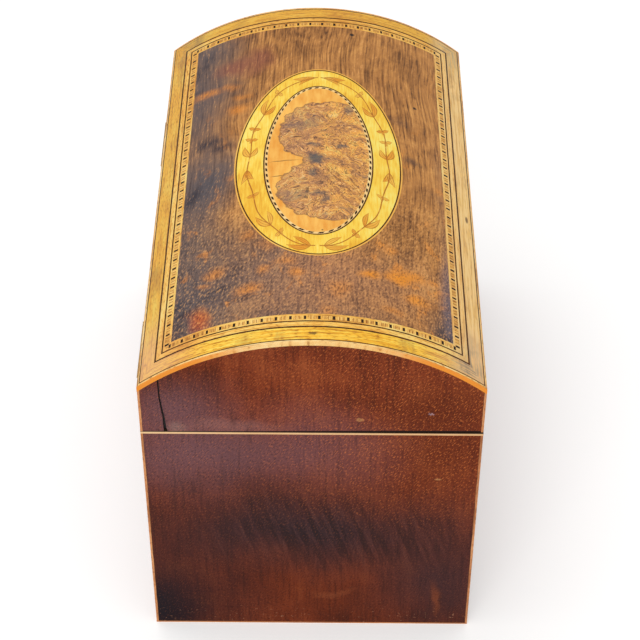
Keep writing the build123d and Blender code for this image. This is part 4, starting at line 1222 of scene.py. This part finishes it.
rim_string, foot_string = 1.0 * mm, 0.6 * mm
posts = Shells("corner_strings_inlay")
corner_rods(posts, lambda y: foot_string + 0 * y, lambda y: rim - rim_string + 0 * y, 5)
posts.place(post_wood, "caddy_base", "boxwood_orange", "corner_strings")
lid_posts = Shells("lid_corner_strings_inlay")
corner_rods(lid_posts, seam_z, lambda y: dome_z(y, arris_depth), 6)
lid_posts.place(post_wood, "caddy_lid", "boxwood_orange", "lid_corner_strings")

# %% [markdown]
# ## Knobs
# The knobs of the inner lids were turned on a lathe from bone, so each is a profile carried round
# an axis: a thin foot, a narrow neck and a button with a small boss on top.


# %% Turned knobs
def lathe(shells, radii, heights, centre, around=48):
    """Carries a profile round an upright axis. The profile starts and ends on the axis, and the two
    poles are single points with fans of triangles."""
    turn = np.linspace(0, 2 * np.pi, around, endpoint=False)
    radii, heights = np.asarray(radii)[:, None], np.asarray(heights)[:, None]
    x = centre[0] + radii * np.cos(turn)
    y = centre[1] + radii * np.sin(turn)
    rings = np.stack([x, y, heights + centre[2] + 0 * x], -1)
    rows = len(radii) - 2
    body = rings[1:-1].reshape(-1, 3)
    poles = rings[[0, -1], 0]
    ring, last = np.arange(around), (rows - 1) * around + np.arange(around)
    low_fan = np.stack([np.roll(ring, -1), ring, np.full(around, rows * around)], -1)
    high_fan = np.stack([last, np.roll(last, -1), np.full(around, rows * around + 1)], -1)
    shells.add(np.concatenate([body, poles]), [grid_faces(rows, around, True), low_fan, high_fan])


knob_profile = np.array([
    (0.0, 0.0), (3.5, 0.0), (3.6, 0.12), (3.6, 0.7), (3.45, 0.88), (2.9, 1.0), (2.55, 1.5), (2.3, 2.3),
    (2.2, 3.3), (2.25, 4.2), (2.45, 4.9), (2.9, 5.4), (3.1, 5.6), (3.1, 6.0), (3.4, 6.3), (4.3, 6.9),
    (5.0, 7.5), (5.4, 8.2), (5.5, 8.8), (5.35, 9.6), (4.9, 10.3), (4.1, 10.9), (3.0, 11.3), (1.9, 11.45),
    (1.5, 11.5), (1.35, 11.75), (1.0, 11.93), (0.5, 12.0), (0.0, 12.0),
]) * mm
for end in ("left", "right"):
    low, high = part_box(f"knob_{end}")
    knob = Shells(f"turned_knob_{end}")
    lathe(knob, knob_profile[:, 0], knob_profile[:, 1], ((low.x + high.x) / 2, 0.0, low.z))
    knob.place(bone, f"inner_lid_{end}", "turned_bone", f"knob_{end}")

# %% [markdown]
# ## Screws
# Hand-cut screws with a slot hold the hinges, the lock and the link plate. The head is a cone below
# and two half discs above, which leave the slot between them.


# %% Slotted screws
def slotted_screw(shells, x, y, z, up, slot_turn):
    """A cone and shank by the lathe, and two half discs: each row of a half disc runs from the edge
    of the slot to the rim, so its far end lies on the circle x*x + y*y = r*r."""
    slot_depth, slot_half, head = 0.45 * mm, 0.22 * mm, 1.55 * mm
    radii = np.array([0.0, 0.3, 0.8, 0.82, 1.15, 0.0]) * mm
    heights = -np.array([7.8, 7.6, 6.6, 0.8, slot_depth / mm, slot_depth / mm]) * mm * up
    lathe(shells, radii, heights, (x, y, z), 24)
    along = np.linspace(-1, 1, 17)[:, None] * np.sqrt(head**2 - slot_half**2)
    cos_t, sin_t = np.cos(slot_turn), np.sin(slot_turn)
    for side in (-1, 1):
        share = np.array([[0.0, 0.5, 1.0]])
        layers = []
        for radius, depth in ((head, 0.0), (head - 0.4 * mm, slot_depth)):
            run = along * radius / head
            reach = np.sqrt(np.maximum(radius**2 - run**2, slot_half**2))
            out = side * (slot_half + share * (reach - slot_half))
            run = run + 0 * out
            px, py = x + run * cos_t - out * sin_t, y + run * sin_t + out * cos_t
            layers.append(np.stack([px, py, z - up * depth + 0 * px], -1))
        shells.slab(layers[0], layers[1])


cad_head = 1.6 * mm  # radius of the plain screw heads that these replace
hinge_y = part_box("base_screws")[1].y - cad_head
print("screws under the hinge leaves at y", round(hinge_y / mm, 2))
turns = np.random.default_rng(3).uniform(0, np.pi, 12)
lock_y = -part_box("base_screws")[0].y - cad_head
link_y = -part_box("lid_screws")[0].y - cad_head
hinge_x, hinge_step, lock_step, link_step = 58 * mm, 9 * mm, 22 * mm, 4 * mm
hinge_spots = [(m + s, hinge_y) for m in (-hinge_x, hinge_x) for s in (-hinge_step, hinge_step)]
for name, spots, up, body in (
    ("base_screws", hinge_spots + [(-lock_step, -lock_y), (lock_step, -lock_y)], 1, "caddy_base"),
    ("lid_screws", hinge_spots + [(-link_step, -link_y), (link_step, -link_y)], -1, "caddy_lid"),
):
    screws = Shells(f"slotted_{name}")
    for k, (x, y) in enumerate(spots):
        slotted_screw(screws, x, y, rim, up, turns[k + (6 if up < 0 else 0)])
    screws.place(steel, body, "steel", name)

# %% [markdown]
# ## Materials for the CAD pieces
# What is left of the CAD model is already the right shape, and gets only its finish here.

# %% Finish the CAD nodes
finishes = {
    "mahogany_veneer": side_wood, "mahogany_field": top_wood, "carcass_mahogany": carcass_wood,
    "carcass_pine": pine, "boxwood_orange": post_wood, "boxwood": rim_wood, "ebony": ebony,
    "satinwood": satinwood, "burr": top_wood, "turned_bone": bone, "foil": foil_metal,
    "brass": brass, "steel": steel,
}
slot_of = {part["node"]: part["material_slot"] for part in frame["record"]["subparts"]}
for node, thing in frame["nodes"].items():
    material = finishes[slot_of[node]]
    if node == "veneer_left":
        material = near_wood
    if node == "lid_left":
        material = lid_end_board
    if node.startswith("inner_lid"):
        material = lid_wood
    thing.data.materials.clear()
    thing.data.materials.append(material)
print("finished", len(slot_of), "nodes")
